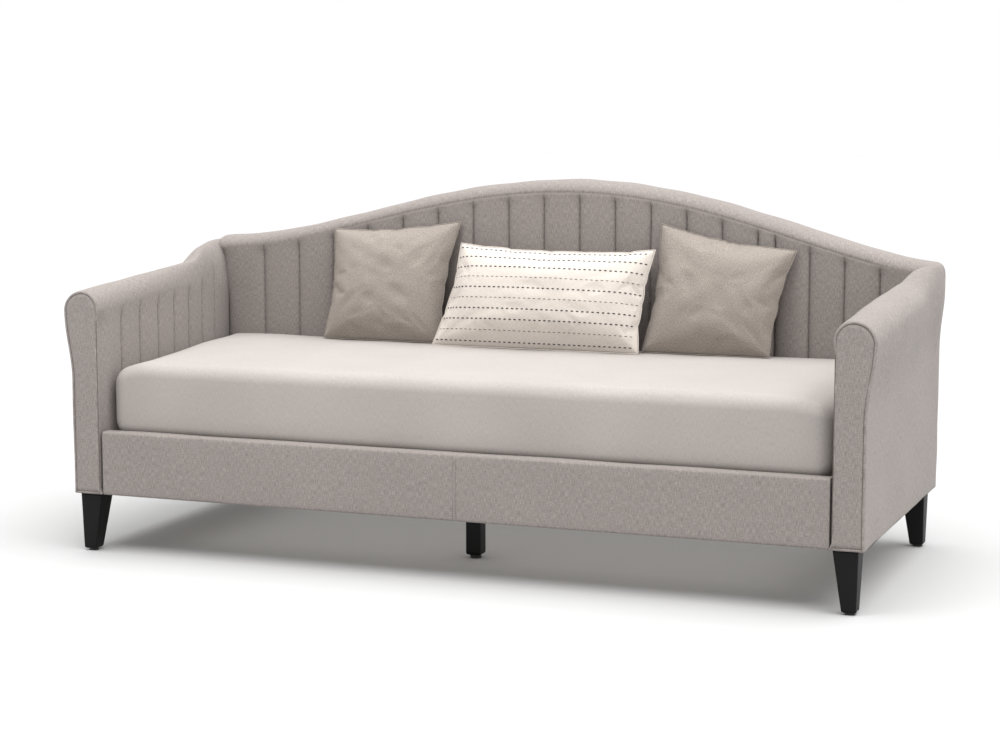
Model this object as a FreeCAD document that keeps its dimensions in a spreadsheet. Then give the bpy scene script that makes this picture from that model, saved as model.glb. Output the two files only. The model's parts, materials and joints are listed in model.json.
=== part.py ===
"""An upholstered daybed with a camel back, scrolled arms, a slatted base and loose soft goods.

Millimetres. The origin is on the floor under the middle of the whole piece: +X runs along the
length to the right-hand arm, the open front faces -Y, and +Z is up. Every size is a cell of the
sheet named dims, and every solid is bound to those cells.
"""

import math
import os

import FreeCAD
import Part
import Sketcher

DIMENSIONS = {
    # overall
    "inner_length": 2010, "arm_thickness": 90, "depth": 960, "underside": 160,
    "cloth": 3, "cloth_gap": 0.2, "timber_gap": 0.1, "slack": 1,
    # arms: a panel whose inner wall splays out to the rear, a neck and a scrolled head
    "arm_neck_below": 238, "arm_neck_taper": 3, "neck_radius": 900, "head_overhang": 17.5,
    "head_outer_drop": 62,
    # arm stations 0 to 5, front to rear: height of the head's top, how far the inner wall has
    # moved outwards, how far the head's roll comes down inside, where its top lies across
    "top_0": 718, "top_1": 731, "top_2": 745, "top_3": 756, "top_4": 788, "top_5": 783,
    "wall_0": 0, "wall_1": 1, "wall_2": 8, "wall_3": 22, "wall_4": 40, "wall_5": 53,
    "roll_0": 60, "roll_1": 60, "roll_2": 66, "roll_3": 88, "roll_4": 130, "roll_5": 165,
    "apex_0": 51, "apex_1": 47, "apex_2": 46, "apex_3": 50, "apex_4": 78, "apex_5": 95,
    "facing_thickness": 12, "welt_width": 5, "welt_depth": 8,
    "arm_frame_in": 58, "arm_frame_width": 21, "panel_top": 580, "arm_board": 3.6,
    "arm_board_below_top": 20, "leg_block_in": 15,
    "front_post_back": 8, "rear_post_ahead": 4, "layer_end_gap": 4,
    # back
    "back_thickness": 112, "shoulder_in": 20, "shoulder_height": 797, "crest_height": 996,
    "bend_out": 600, "bend_height": 903, "crown_radius": 1982, "dip_radius": 2770,
    "side_top_height": 722, "side_neck_height": 562, "shoulder_radius": 82,
    "foam_thickness": 40, "board_thickness": 5, "post_depth": 45, "post_width": 40,
    "top_rail_height": 70, "seat_rail_height": 60, "middle_post_out": 350,
    "middle_post_top": 862, "top_rail_end_in": 60, "top_rail_in": 20, "end_post_in": 39,
    "end_post_below_shoulder": 80,
    # front rail
    "rail_height": 175, "rail_thickness": 38, "rail_set_back": 6, "rail_gap": 1,
    "rail_padding": 5, "rail_softness": 6,
    # slatted base
    "slat_top": 316, "slat_thickness": 18, "slat_width": 64, "slat_count": 16,
    "slat_margin": 20, "slat_end_gap": 2, "ledge_end_gap": 5,
    "ledge_width": 25, "ledge_height": 40, "strap_width": 25, "strap_thickness": 1.5,
    "strap_out": 240, "screw_radius": 2, "screw_length": 30, "screw_head_radius": 3.5,
    "screw_head_height": 2, "screw_sink": 0.5,
    "beam_width": 42, "beam_height": 70, "centre_leg_x": -33, "centre_leg_y": -167,
    "centre_leg_side": 42, "centre_leg_bottom": 10, "centre_leg_chamfer": 4,
    "bracket_width": 40, "bracket_thickness": 3, "bracket_below_ledge": 5,
    # levelling foot
    "pad_radius": 15, "pad_height": 8, "stem_radius": 4, "stem_length": 40, "stem_fit": 0.08,
    "insert_radius": 7, "insert_length": 25,
    # tapered legs
    "leg_top": 64, "leg_foot_width": 36, "leg_foot_depth": 40, "leg_lean": 4,
    "leg_in": 17, "front_leg_back": 9.5, "rear_leg_back": 39, "leg_glide": 6,
    "glide_radius": 13, "leg_chamfer": 3, "leg_bolt_radius": 4, "leg_bolt_up": 30,
    "leg_bolt_down": 45, "nut_radius": 9, "nut_height": 8, "nut_edge": 2,
    # joining hardware
    "bolt_radius": 4, "bolt_clearance": 0.5, "bolt_head_radius": 8, "bolt_head": 5,
    "low_bolt_height": 240, "high_bolt_height": 520, "back_bolt_in": 5,
    "corner_bracket": 60, "corner_bracket_up": 20, "corner_bolt_back": 36,
    "corner_bolt_length": 79,
    # mattress
    "mattress_length": 1982, "mattress_width": 800, "mattress_height": 204,
    "mattress_corner": 30, "mattress_edge": 14, "mattress_gap": 2, "mattress_cloth": 4,
    "resting_gap": 0.4,
    # pillows
    "square_width": 380, "square_height": 350, "square_thickness": 100,
    "lumbar_width": 598, "lumbar_height": 300, "lumbar_thickness": 106,
    "pillow_edge": 10, "pillow_lean": 15, "pillow_cloth": 2, "square_turn": 3,
    "left_pillow_x": -489, "right_pillow_x": 514, "square_y": 304,
    "lumbar_x": 12, "lumbar_y": 262, "lumbar_turn": 0,
}

SAME_HEIGHT = 0.01
MM3_PER_LITRE = 1e6

document = FreeCAD.newDocument("daybed")
sheet = document.addObject("Spreadsheet::Sheet", "dims")
for row, (alias, number) in enumerate(DIMENSIONS.items(), start=1):
    sheet.set(f"A{row}", alias)
    sheet.set(f"B{row}", str(number))
    sheet.setAlias(f"B{row}", alias)
document.recompute()


class Size(float):
    """A number that remembers the sheet formula it comes from."""

    def __new__(cls, number, formula=None):
        size = super().__new__(cls, number)
        size.formula = formula if formula else repr(float(number))
        return size

    def __add__(self, other):
        return Size(float(self) + float(other), f"({self.formula} + {Size.of(other).formula})")

    def __radd__(self, other):
        return Size.of(other) + self

    def __sub__(self, other):
        return Size(float(self) - float(other), f"({self.formula} - {Size.of(other).formula})")

    def __rsub__(self, other):
        return Size.of(other) - self

    def __mul__(self, other):
        return Size(float(self) * float(other), f"({self.formula} * {Size.of(other).formula})")

    def __rmul__(self, other):
        return self * other

    def __truediv__(self, other):
        return Size(float(self) / float(other), f"({self.formula} / {Size.of(other).formula})")

    def __neg__(self):
        return self * -1

    @staticmethod
    def of(number):
        """Any number as a Size."""
        return number if isinstance(number, Size) else Size(number)


class Dims:
    """The sheet's cells as sizes: dims.depth, dims.leg_top and so on."""

    def __getattr__(self, alias):
        return Size(DIMENSIONS[alias], f"dims.{alias}")


d = Dims()


def sine(degrees):
    """Sine of an angle in degrees."""
    return Size(math.sin(math.radians(degrees)), f"sin({degrees.formula})")


def cosine(degrees):
    """Cosine of an angle in degrees."""
    return Size(math.cos(math.radians(degrees)), f"cos({degrees.formula})")


# ---- ways of making a solid ---------------------------------------------------------------

def bind(item, **sizes):
    """Tie properties of an object to sheet formulas; a double underscore stands for a dot."""
    for name, size in sizes.items():
        item.setExpression(name.replace("__", "."), Size.of(size).formula)


def put(item, x=0, y=0, z=0):
    """Tie an object's place to sheet formulas."""
    bind(item, Placement__Base__x=x, Placement__Base__y=y, Placement__Base__z=z)


def turn(item, axis, angle):
    """Turn an object about its own origin, by degrees."""
    item.Placement.Rotation = FreeCAD.Rotation(FreeCAD.Vector(*axis), float(angle))


def box(name, x, y, z):
    """A block between three (low, high) pairs."""
    block = document.addObject("Part::Box", name)
    bind(block, Length=x[1] - Size.of(x[0]), Width=y[1] - Size.of(y[0]), Height=z[1] - Size.of(z[0]))
    put(block, x[0], y[0], z[0])
    return block


def rod(name, radius, start, length, axis="z"):
    """A round bar from a start point along +X, +Y or +Z."""
    bar = document.addObject("Part::Cylinder", name)
    bind(bar, Radius=radius, Height=length)
    if axis == "x":
        turn(bar, (0, 1, 0), 90)
    if axis == "y":
        turn(bar, (1, 0, 0), -90)
    put(bar, *start)
    return bar


def tapered(name, x_low, x_high, y_low, y_high, z):
    """A block whose footprint changes from its lower to its upper rectangle."""
    wedge = document.addObject("Part::Wedge", name)
    bind(wedge, Xmin=x_low[0], Xmax=x_low[1], X2min=x_high[0], X2max=x_high[1],
         Zmin=-y_low[1], Zmax=-y_low[0], Z2min=-y_high[1], Z2max=-y_high[0],
         Ymin=z[0], Ymax=z[1])
    turn(wedge, (1, 0, 0), 90)
    return wedge


def cut(name, base, *tools):
    """A solid with others taken away from it."""
    for number, tool in enumerate(tools):
        carved = document.addObject("Part::Cut", name if tool is tools[-1] else f"{name}_{number}")
        carved.Base = base
        carved.Tool = tool
        base = carved
    return base


def common(name, first, second):
    """What two solids share."""
    shared = document.addObject("Part::Common", name)
    shared.Base = first
    shared.Tool = second
    return shared


def fuse(name, *solids):
    """Several touching solids made into one."""
    whole = document.addObject("Part::MultiFuse", name)
    whole.Shapes = list(solids)
    return whole


def group(name, *solids):
    """Separate solids of one kind kept together."""
    compound = document.addObject("Part::Compound", name)
    compound.Links = list(solids)
    return compound


def mirrored(name, solid, normal=(1, 0, 0)):
    """A solid's mirror image through the origin."""
    mirror = document.addObject("Part::Mirroring", name)
    mirror.Source = solid
    mirror.Normal = FreeCAD.Vector(*normal)
    return mirror


def rounded(name, solid, radius, chosen):
    """A solid with a radius on each edge that the chosen test accepts."""
    document.recompute()
    edges = [number for number, edge in enumerate(solid.Shape.Edges, start=1) if chosen(edge)]
    fillet = document.addObject("Part::Fillet", name)
    fillet.Base = solid
    fillet.Edges = [(number, float(radius), float(radius)) for number in edges]
    return fillet


def bevelled(name, solid, size, chosen):
    """A solid with a flat bevel on each edge that the chosen test accepts."""
    document.recompute()
    edges = [number for number, edge in enumerate(solid.Shape.Edges, start=1) if chosen(edge)]
    chamfer = document.addObject("Part::Chamfer", name)
    chamfer.Base = solid
    chamfer.Edges = [(number, float(size), float(size)) for number in edges]
    return chamfer


def is_upright(edge):
    """An edge that runs mostly up and down."""
    run = edge.Vertexes[-1].Point - edge.Vertexes[0].Point
    return abs(run.z) > math.hypot(run.x, run.y)


def lies_at(height):
    """A test for edges that lie level at one height."""
    return lambda edge: all(abs(vertex.Z - height) < SAME_HEIGHT for vertex in edge.Vertexes)


def arc_centre(start, end, radius):
    """Centre of the anticlockwise arc of that radius from start to end, under half a turn."""
    middle = [(a + b) / 2 for a, b in zip(start, end)]
    run = [b - a for a, b in zip(start, end)]
    chord = math.hypot(*run)
    offset = math.sqrt(radius * radius - chord * chord / 4)
    return (middle[0] - run[1] / chord * offset, middle[1] + run[0] / chord * offset)


def outline(name, y, points):
    """A closed front-view sketch at depth y, anticlockwise as seen from the front.

    Each point is (x, z, bend): bend shapes the run to the next point. None is straight, a
    positive radius bulges outwards, a negative one inwards, and ("over", radius) is a bulge of
    more than half a turn.
    """
    sketch = document.addObject("Sketcher::SketchObject", name)
    turn(sketch, (1, 0, 0), 90)
    put(sketch, y=y)
    starts = []
    for index, (x, z, bend) in enumerate(points):
        start = (float(x), float(z))
        end = tuple(float(value) for value in points[(index + 1) % len(points)][:2])
        if bend is None:
            line = Part.LineSegment(FreeCAD.Vector(*start, 0), FreeCAD.Vector(*end, 0))
            sketch.addGeometry(line, False)
            starts.append((1, 2))
            continue
        over = isinstance(bend, tuple)
        radius = bend[1] if over else bend
        outwards = float(radius) > 0
        flipped = over != (not outwards)
        first, last = (end, start) if flipped else (start, end)
        centre = arc_centre(first, last, abs(float(radius)))
        first, last = (start, end) if outwards else (end, start)
        angles = [math.atan2(point[1] - centre[1], point[0] - centre[0]) for point in (first, last)]
        circle = Part.Circle(FreeCAD.Vector(*centre, 0), FreeCAD.Vector(0, 0, 1), abs(float(radius)))
        sketch.addGeometry(Part.ArcOfCircle(circle, *angles), False)
        starts.append((1, 2) if outwards else (2, 1))
        number = sketch.addConstraint(Sketcher.Constraint("Radius", index, abs(float(radius))))
        sketch.setExpression(f"Constraints[{number}]", (radius if outwards else -radius).formula)
    for index, (x, z, bend) in enumerate(points):
        following = (index + 1) % len(points)
        sketch.addConstraint(Sketcher.Constraint(
            "Coincident", index, starts[index][1], following, starts[following][0]))
        for kind, place in (("DistanceX", x), ("DistanceY", z)):
            number = sketch.addConstraint(Sketcher.Constraint(
                kind, -1, 1, index, starts[index][0], float(place)))
            sketch.setExpression(f"Constraints[{number}]", Size.of(place).formula)
    return sketch


def slab(name, points, y):
    """A front-view outline given thickness from y[0] back to y[1]."""
    profile = outline(f"{name}_outline", y[0], points)
    plate = document.addObject("Part::Extrusion", name)
    plate.Base = profile
    plate.Dir = FreeCAD.Vector(0, 1, 0)
    plate.DirMode = "Custom"
    plate.Solid = True
    bind(plate, LengthFwd=y[1] - Size.of(y[0]))
    return plate


# ---- shared places ------------------------------------------------------------------------

inner_x = d.inner_length / 2
outer_x = inner_x + d.arm_thickness
front = -d.depth / 2
rear = d.depth / 2
back_front = rear - d.back_thickness
rail_front = front + d.rail_set_back
rail_back = rail_front + d.rail_thickness
rail_top = d.underside + d.rail_height
slat_underside = d.slat_top - d.slat_thickness
both_sides = (-1, 1)


# ---- arms ---------------------------------------------------------------------------------

STATIONS = ((0, 0), (1, 0.26), (2, 0.52), (3, 0.70), (4, 0.88), (5, 1))


def vertical_arc(across, upward):
    """Radius of an arc that starts upright and ends that far across and upward."""
    squares = f"{across.formula} * {across.formula} + {upward.formula} * {upward.formula}"
    radius = (across * across + upward * upward) / (across * 2)
    return Size(float(radius), f"(({squares}) / (2 * {across.formula}))")


def arm_section(number, inset=Size(0), base=None):
    """The right arm's section at a station, drawn in by inset.

    A straight inner wall runs up into the head's roll, which turns over at its apex and comes
    down to the outer side's flared neck.
    """
    top = getattr(d, f"top_{number}") - inset
    wall = inner_x + getattr(d, f"wall_{number}") + inset
    apex = inner_x + getattr(d, f"apex_{number}")
    roll_foot = top - getattr(d, f"roll_{number}") + inset
    outside = outer_x + d.head_overhang - inset
    outer_foot = top - d.head_outer_drop + inset
    bottom = d.underside + inset if base is None else base
    return [
        (wall, bottom, None),
        (outer_x - inset, bottom, None),
        (outer_x - d.arm_neck_taper - inset, top - d.arm_neck_below + inset, -(d.neck_radius)),
        (outside, outer_foot, vertical_arc(outside - apex, top - outer_foot)),
        (apex, top, vertical_arc(apex - wall, top - roll_foot)),
        (wall, roll_foot, None),
    ]


arm_front = front + d.facing_thickness + d.cloth_gap
arm_rear = back_front - d.cloth_gap


def arm_body(name, inset, base=None):
    """The arm lofted from front to back through its stations, its head rising to the back."""
    loft = document.addObject("Part::Loft", name)
    length = arm_rear - arm_front
    loft.Sections = [
        outline(f"{name}_station_{number}", arm_front + length * share,
                arm_section(number, inset, base))
        for number, share in STATIONS]
    loft.Solid = True
    return loft


skin = d.cloth
inside = skin + d.cloth_gap
frame_inner = inner_x + d.arm_frame_in
frame_outer = frame_inner + d.arm_frame_width
timber_bottom = d.underside + inside
dust_top = d.underside + d.cloth / 2
front_post_y = (arm_front + d.front_post_back, arm_front + d.front_post_back + d.post_depth)
rear_post_y = (arm_rear - d.rear_post_ahead - d.post_depth, arm_rear - d.rear_post_ahead)
layer_y = (arm_front + d.layer_end_gap, arm_rear - d.layer_end_gap)

arm_outer = arm_body("arm_outer", Size(0))
arm_hollow = arm_body("arm_hollow", skin, d.underside - d.slack)
arm_filling = arm_body("arm_filling", inside, timber_bottom)
arm_cover = cut("right_arm_cover", arm_outer, arm_hollow)

arm_facing = slab("right_arm_facing", arm_section(0, d.welt_width + d.cloth_gap),
                  (front, front + d.facing_thickness))
welt_y = (front + d.facing_thickness - d.welt_depth, front + d.facing_thickness)
facing_welt = cut("right_facing_welt", slab("welt_outer", arm_section(0), welt_y),
                  slab("welt_inner", arm_section(0, d.welt_width), welt_y))

front_post = box("arm_front_post", (frame_inner, frame_outer), front_post_y,
                 (timber_bottom, d.panel_top))
leg_block = box("arm_leg_block", (inner_x + d.leg_block_in, frame_inner), front_post_y,
                (timber_bottom, timber_bottom + d.seat_rail_height))
rear_post = box("arm_rear_post", (frame_inner, frame_outer), rear_post_y,
                (timber_bottom, d.panel_top))
arm_posts = group("right_arm_posts", fuse("arm_front_post_block", front_post, leg_block), rear_post)
arm_rails = group(
    "right_arm_rails",
    *(box(f"arm_rail_{number}", (frame_inner, frame_outer),
          (front_post_y[1] + d.timber_gap, rear_post_y[0] - d.timber_gap),
          (height, height + d.seat_rail_height))
      for number, height in enumerate((timber_bottom, d.panel_top - d.seat_rail_height))))
arm_board = box("right_arm_board", (frame_outer + d.cloth_gap, frame_outer + d.arm_board),
                layer_y, (timber_bottom, d.panel_top - d.arm_board_below_top))
pad_front = front_post_y[1] + d.timber_gap
pad_zone = fuse(
    "pad_zone",
    box("pad_zone_long", (inner_x, frame_inner - d.cloth_gap), (pad_front, layer_y[1]),
        (timber_bottom, d.panel_top)),
    box("pad_zone_front", (inner_x, frame_inner - d.cloth_gap), (layer_y[0], pad_front),
        (timber_bottom + d.seat_rail_height + d.timber_gap, d.panel_top)))
arm_pad = common("right_arm_pad", arm_filling, pad_zone)
roll_zone = box("roll_zone", (inner_x - d.arm_thickness, outer_x + d.arm_thickness),
                (arm_front, arm_rear), (d.panel_top + d.cloth_gap, d.crest_height))
arm_roll = common("right_arm_roll", arm_filling, roll_zone)
dust_zone = box("dust_zone", (inner_x, outer_x), (arm_front, arm_rear), (d.underside, dust_top))
arm_dust_cover = common("right_arm_dust_cover", arm_body("arm_foot", inside, d.underside), dust_zone)


# ---- back ---------------------------------------------------------------------------------

def camel(inset=Size(0), base=None):
    """The back seen from the front: flared ends, round shoulders and a humped crest."""
    head_x = outer_x + d.head_overhang - inset
    head_z = d.side_top_height
    shoulder = (outer_x - d.shoulder_in - inset, d.shoulder_height - inset)
    bend = (d.bend_out, d.bend_height - inset)
    neck = (outer_x - d.arm_neck_taper - inset, d.side_neck_height)
    bottom = d.underside + inset if base is None else base
    crown = d.crown_radius - inset
    dip = d.dip_radius + inset
    return [
        (-(outer_x - inset), bottom, None),
        (outer_x - inset, bottom, None),
        (*neck, -(d.neck_radius)),
        (head_x, head_z, d.shoulder_radius),
        (*shoulder, -dip),
        (*bend, crown),
        (-bend[0], bend[1], -dip),
        (-shoulder[0], shoulder[1], d.shoulder_radius),
        (-head_x, head_z, -(d.neck_radius)),
        (-neck[0], neck[1], None),
    ]


inner_cover_y = (back_front, back_front + d.cloth)
foam_y = (inner_cover_y[1] + d.cloth_gap, inner_cover_y[1] + d.foam_thickness)
board_y = (foam_y[1] + d.cloth_gap, foam_y[1] + d.board_thickness)
frame_y = (board_y[1] + d.cloth_gap, board_y[1] + d.cloth_gap + d.post_depth)
border_y = (inner_cover_y[1] + d.cloth_gap / 2, rear - d.cloth - d.cloth_gap / 2)

back_inner_cover = slab("back_inner_cover_sheet", camel(), inner_cover_y)
back_outer_cover = slab("back_outer_cover", camel(), (rear - d.cloth, rear))
back_border = cut("back_border", slab("border_outer", camel(), border_y),
                  slab("border_inner", camel(skin, d.underside - d.slack), border_y))
back_foam = slab("back_foam_block", camel(inside), foam_y)
back_board = slab("back_board_sheet", camel(inside + d.top_rail_in, d.underside + inside), board_y)
back_dust_cover = box("back_dust_cover", (-(outer_x - inside), outer_x - inside),
                      border_y, (d.underside, dust_top))

top_rail_arch = slab("top_rail_arch", camel(inside + d.top_rail_in), frame_y)
top_rail_underside = slab("top_rail_underside", camel(inside + d.top_rail_in), frame_y)
put(top_rail_underside, z=-d.top_rail_height)
top_rail_zone = box("top_rail_zone", (-(outer_x - d.top_rail_end_in), outer_x - d.top_rail_end_in), frame_y,
                    (d.side_top_height - d.top_rail_height, d.crest_height))
back_top_rail = common("back_top_rail", cut("top_rail_strip", top_rail_arch, top_rail_underside),
                       top_rail_zone)
end_post_x = (inner_x + d.end_post_in, inner_x + d.end_post_in + d.post_width)
middle_post_x = (d.middle_post_out - d.post_width / 2, d.middle_post_out + d.post_width / 2)
seat_rail_z = (d.slat_top - d.seat_rail_height, d.slat_top)
bottom_rail_z = (timber_bottom, timber_bottom + d.seat_rail_height)
end_post = box("back_end_post", end_post_x, frame_y,
               (timber_bottom, d.shoulder_height - d.end_post_below_shoulder))
middle_post = box("back_middle_post", middle_post_x, frame_y,
                  (seat_rail_z[1] + d.timber_gap, d.middle_post_top))
back_posts = group("back_posts_all", end_post, mirrored("back_end_post_left", end_post),
                   middle_post, mirrored("back_middle_post_left", middle_post))
seat_rail_end = end_post_x[0] - d.timber_gap
back_seat_rails = group(
    "back_seat_rails",
    *(box(f"back_rail_{number}", (-seat_rail_end, seat_rail_end), frame_y, heights)
      for number, heights in enumerate((bottom_rail_z, seat_rail_z))))


# ---- front rail ---------------------------------------------------------------------------

rail_x = inner_x - d.rail_gap


def rail_layer(name, inset, x_out=rail_x):
    """The front rail's block, smaller by inset on its faces."""
    return box(name, (-x_out, x_out), (rail_front + inset, rail_back - inset),
               (d.underside + inset, rail_top - inset))


rail_block = rounded("rail_block_soft", rail_layer("rail_block", Size(0)), d.rail_softness,
                     lambda edge: edge.Length > float(d.inner_length) / 2)
front_rail_cover = cut("front_rail_cover", rail_block, rail_layer("rail_hollow", skin))
board_inset = inside + d.rail_padding
rail_filling = rail_layer("rail_filling", inside)
front_rail_board = rail_layer("front_rail_board", board_inset)
front_rail_padding = cut("front_rail_padding", rail_filling,
                         rail_layer("rail_board_pocket", board_inset - d.cloth_gap))


# ---- slatted base -------------------------------------------------------------------------

slat_y = (rail_back + d.slat_end_gap, back_front - d.slat_end_gap)
ledge_x = inner_x - d.ledge_end_gap
ledge_z = (slat_underside - d.ledge_height, slat_underside)
front_ledge_y = (rail_back, rail_back + d.ledge_width)
rear_ledge_y = (back_front - d.ledge_width, back_front)
front_ledge = box("front_ledge", (-ledge_x, ledge_x), front_ledge_y, ledge_z)
rear_ledge = box("rear_ledge", (-ledge_x, ledge_x), rear_ledge_y, ledge_z)

slatted_half = inner_x - d.slat_margin
slat_pitch = slatted_half * 2 / d.slat_count
slat_middles = [slat_pitch * (number + 0.5) - slatted_half for number in range(int(d.slat_count))]
slats = group("slats", *(
    box(f"slat_{number}", (middle - d.slat_width / 2, middle + d.slat_width / 2), slat_y,
        (slat_underside, d.slat_top))
    for number, middle in enumerate(slat_middles)))
strap_z = (slat_underside - d.strap_thickness, slat_underside)
slat_straps = group("slat_straps", *(
    box(f"strap_{side}", (slat_middles[0], slat_middles[-1]),
        (side * d.strap_out - d.strap_width / 2, side * d.strap_out + d.strap_width / 2), strap_z)
    for side in both_sides))


def screw(name, x, y, top):
    """A countersunk wood screw standing in a slat and the ledge below it."""
    shank = rod(f"{name}_shank", d.screw_radius, (x, y, top - d.screw_length), d.screw_length)
    head = rod(f"{name}_head", d.screw_head_radius, (x, y, top - d.screw_head_height),
               d.screw_head_height)
    return fuse(name, shank, head)


slat_screws = group("slat_screws", *(
    screw(f"screw_{end}_{number}", middle, (ledge[0] + ledge[1]) / 2, d.slat_top - d.screw_sink)
    for end, ledge in enumerate((front_ledge_y, rear_ledge_y))
    for number, middle in enumerate(slat_middles)))

beam_x = (d.centre_leg_x - d.beam_width / 2, d.centre_leg_x + d.beam_width / 2)
beam_z = (strap_z[0] - d.beam_height, strap_z[0])
beam_y = (front_ledge_y[1] + d.bracket_thickness, rear_ledge_y[0] - d.bracket_thickness)
centre_beam = box("centre_beam", beam_x, beam_y, beam_z)


def beam_bracket(name, y, shelf_y):
    """An angle bracket: an upright plate on the ledge and a shelf under the beam's end."""
    upright = box(f"{name}_plate", beam_x, y,
                  (beam_z[0] - d.bracket_thickness, ledge_z[1] - d.bracket_below_ledge))
    shelf = box(f"{name}_shelf", beam_x, shelf_y, (beam_z[0] - d.bracket_thickness, beam_z[0]))
    return fuse(name, upright, shelf)


beam_brackets = group(
    "beam_brackets",
    beam_bracket("beam_bracket_front", (front_ledge_y[1], beam_y[0]),
                 (beam_y[0], beam_y[0] + d.bracket_width)),
    beam_bracket("beam_bracket_rear", (beam_y[1], rear_ledge_y[0]),
                 (beam_y[1] - d.bracket_width, beam_y[1])))

leg_x, leg_y = d.centre_leg_x, d.centre_leg_y
half_side = d.centre_leg_side / 2
centre_block = box("centre_leg_block", (leg_x - half_side, leg_x + half_side),
                   (leg_y - half_side, leg_y + half_side), (d.centre_leg_bottom, beam_z[0]))
centre_bevelled = bevelled("centre_leg_bevelled", centre_block, d.centre_leg_chamfer,
                           lies_at(float(d.centre_leg_bottom)))
insert_z = (d.centre_leg_bottom, d.centre_leg_bottom + d.insert_length)
centre_leg = cut(
    "centre_leg", centre_bevelled,
    rod("insert_pocket", d.insert_radius, (leg_x, leg_y, insert_z[0]), d.insert_length),
    rod("stem_pocket", d.stem_radius + d.slack, (leg_x, leg_y, insert_z[1]), d.stem_length))
foot_insert = cut(
    "foot_insert",
    rod("insert_bush", d.insert_radius, (leg_x, leg_y, insert_z[0]), d.insert_length),
    rod("insert_bore", d.stem_radius + d.stem_fit, (leg_x, leg_y, insert_z[0]), d.insert_length))
foot_stem = rod("foot_stem", d.stem_radius, (leg_x, leg_y, d.pad_height), d.stem_length)
foot_pad = rod("foot_pad", d.pad_radius, (leg_x, leg_y, Size(0)), d.pad_height)


# ---- tapered legs -------------------------------------------------------------------------

leg_out = outer_x - d.leg_in


def tapered_leg(name, outer_top, outer_foot, y_top, y_foot):
    """A leg whose two outer faces are nearly upright and whose inner two taper."""
    wedge = tapered(f"{name}_wedge", (outer_foot - d.leg_foot_width, outer_foot),
                    (outer_top - d.leg_top, outer_top), y_foot, y_top, (d.leg_glide, d.underside))
    return bevelled(name, wedge, d.leg_chamfer, lies_at(float(d.leg_glide)))


front_leg_face = front + d.front_leg_back
rear_leg_face = rear - d.rear_leg_back
foot_x = leg_out - d.leg_lean
front_right_leg = tapered_leg(
    "front_right_leg_solid", leg_out, foot_x, (front_leg_face, front_leg_face + d.leg_top),
    (front_leg_face + d.leg_lean, front_leg_face + d.leg_lean + d.leg_foot_depth))
rear_right_leg = tapered_leg(
    "rear_right_leg_solid", leg_out, foot_x, (rear_leg_face - d.leg_top, rear_leg_face),
    (rear_leg_face - d.leg_lean - d.leg_foot_depth, rear_leg_face - d.leg_lean))
glide_x = foot_x - d.leg_foot_width / 2
glide_ys = (front_leg_face + d.leg_lean + d.leg_foot_depth / 2,
            rear_leg_face - d.leg_lean - d.leg_foot_depth / 2)
leg_spots = [(side * glide_x, glide_y) for glide_y in glide_ys for side in both_sides]
leg_glides = group("leg_glides", *(
    rod(f"glide_{number}", d.glide_radius, (x, y, Size(0)), d.leg_glide)
    for number, (x, y) in enumerate(leg_spots)))
bolt_up = timber_bottom + d.leg_bolt_up
leg_bolt_ys = ((front_post_y[0] + front_post_y[1]) / 2, frame_y[0] + d.nut_radius + d.nut_edge)
bolt_spots = [(side * glide_x, bolt_y) for bolt_y in leg_bolt_ys for side in both_sides]
leg_bolts = group("leg_bolts_all", *(
    rod(f"leg_bolt_{number}", d.leg_bolt_radius, (x, y, d.underside - d.leg_bolt_down),
        d.leg_bolt_down + bolt_up - d.underside)
    for number, (x, y) in enumerate(bolt_spots)))
leg_nuts = group("leg_nuts", *(
    cut(f"leg_nut_{number}",
        rod(f"nut_body_{number}", d.nut_radius, (x, y, timber_bottom), d.nut_height),
        rod(f"nut_bore_{number}", d.leg_bolt_radius, (x, y, timber_bottom), d.nut_height))
    for number, (x, y) in enumerate(bolt_spots)))


# ---- joining hardware ---------------------------------------------------------------------

bracket_y = (rail_back + d.cloth_gap, rail_back + d.cloth_gap + d.bracket_thickness)
bracket_z = (d.underside + d.corner_bracket_up, ledge_z[0] - d.bracket_below_ledge)
wall_x = inner_x - d.cloth_gap


def corner_bracket(name):
    """A steel angle in the corner between the front rail and the right arm."""
    rail_leg = box(f"{name}_rail_leg", (wall_x - d.corner_bracket, wall_x), bracket_y, bracket_z)
    arm_leg = box(f"{name}_arm_leg", (wall_x - d.bracket_thickness, wall_x),
                  (bracket_y[1], bracket_y[0] + d.corner_bracket), bracket_z)
    return fuse(name, rail_leg, arm_leg)


right_bracket = corner_bracket("right_rail_bracket")
rail_brackets = group("rail_brackets", right_bracket,
                      mirrored("left_rail_bracket", right_bracket))
bracket_middle = (bracket_z[0] + bracket_z[1]) / 2
bracket_bolt_start = wall_x - d.bracket_thickness - d.bolt_head
bracket_bolt_y = bracket_y[0] + d.corner_bolt_back
bracket_bolt = fuse(
    "bracket_bolt",
    rod("bracket_bolt_head", d.bolt_head_radius,
        (bracket_bolt_start, bracket_bolt_y, bracket_middle), d.bolt_head, "x"),
    rod("bracket_bolt_shank", d.bolt_radius,
        (bracket_bolt_start + d.bolt_head, bracket_bolt_y, bracket_middle),
        d.corner_bolt_length, "x"))
bracket_bolts = group("bracket_bolts", bracket_bolt, mirrored("bracket_bolt_left", bracket_bolt))

back_bolt_x = (frame_inner + frame_outer) / 2
back_bolt_start = rear_post_y[0] + d.back_bolt_in
back_bolt_length = frame_y[1] - back_bolt_start
bolt_heights = (d.low_bolt_height, d.high_bolt_height)


def back_bolt(name, side, height):
    """A bolt from behind the back's end post into the arm's rear post."""
    place = (side * back_bolt_x, back_bolt_start, height)
    head_place = (side * back_bolt_x, back_bolt_start + back_bolt_length, height)
    return fuse(name, rod(f"{name}_shank", d.bolt_radius, place, back_bolt_length, "y"),
                rod(f"{name}_head", d.bolt_head_radius, head_place, d.bolt_head, "y"))


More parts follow.
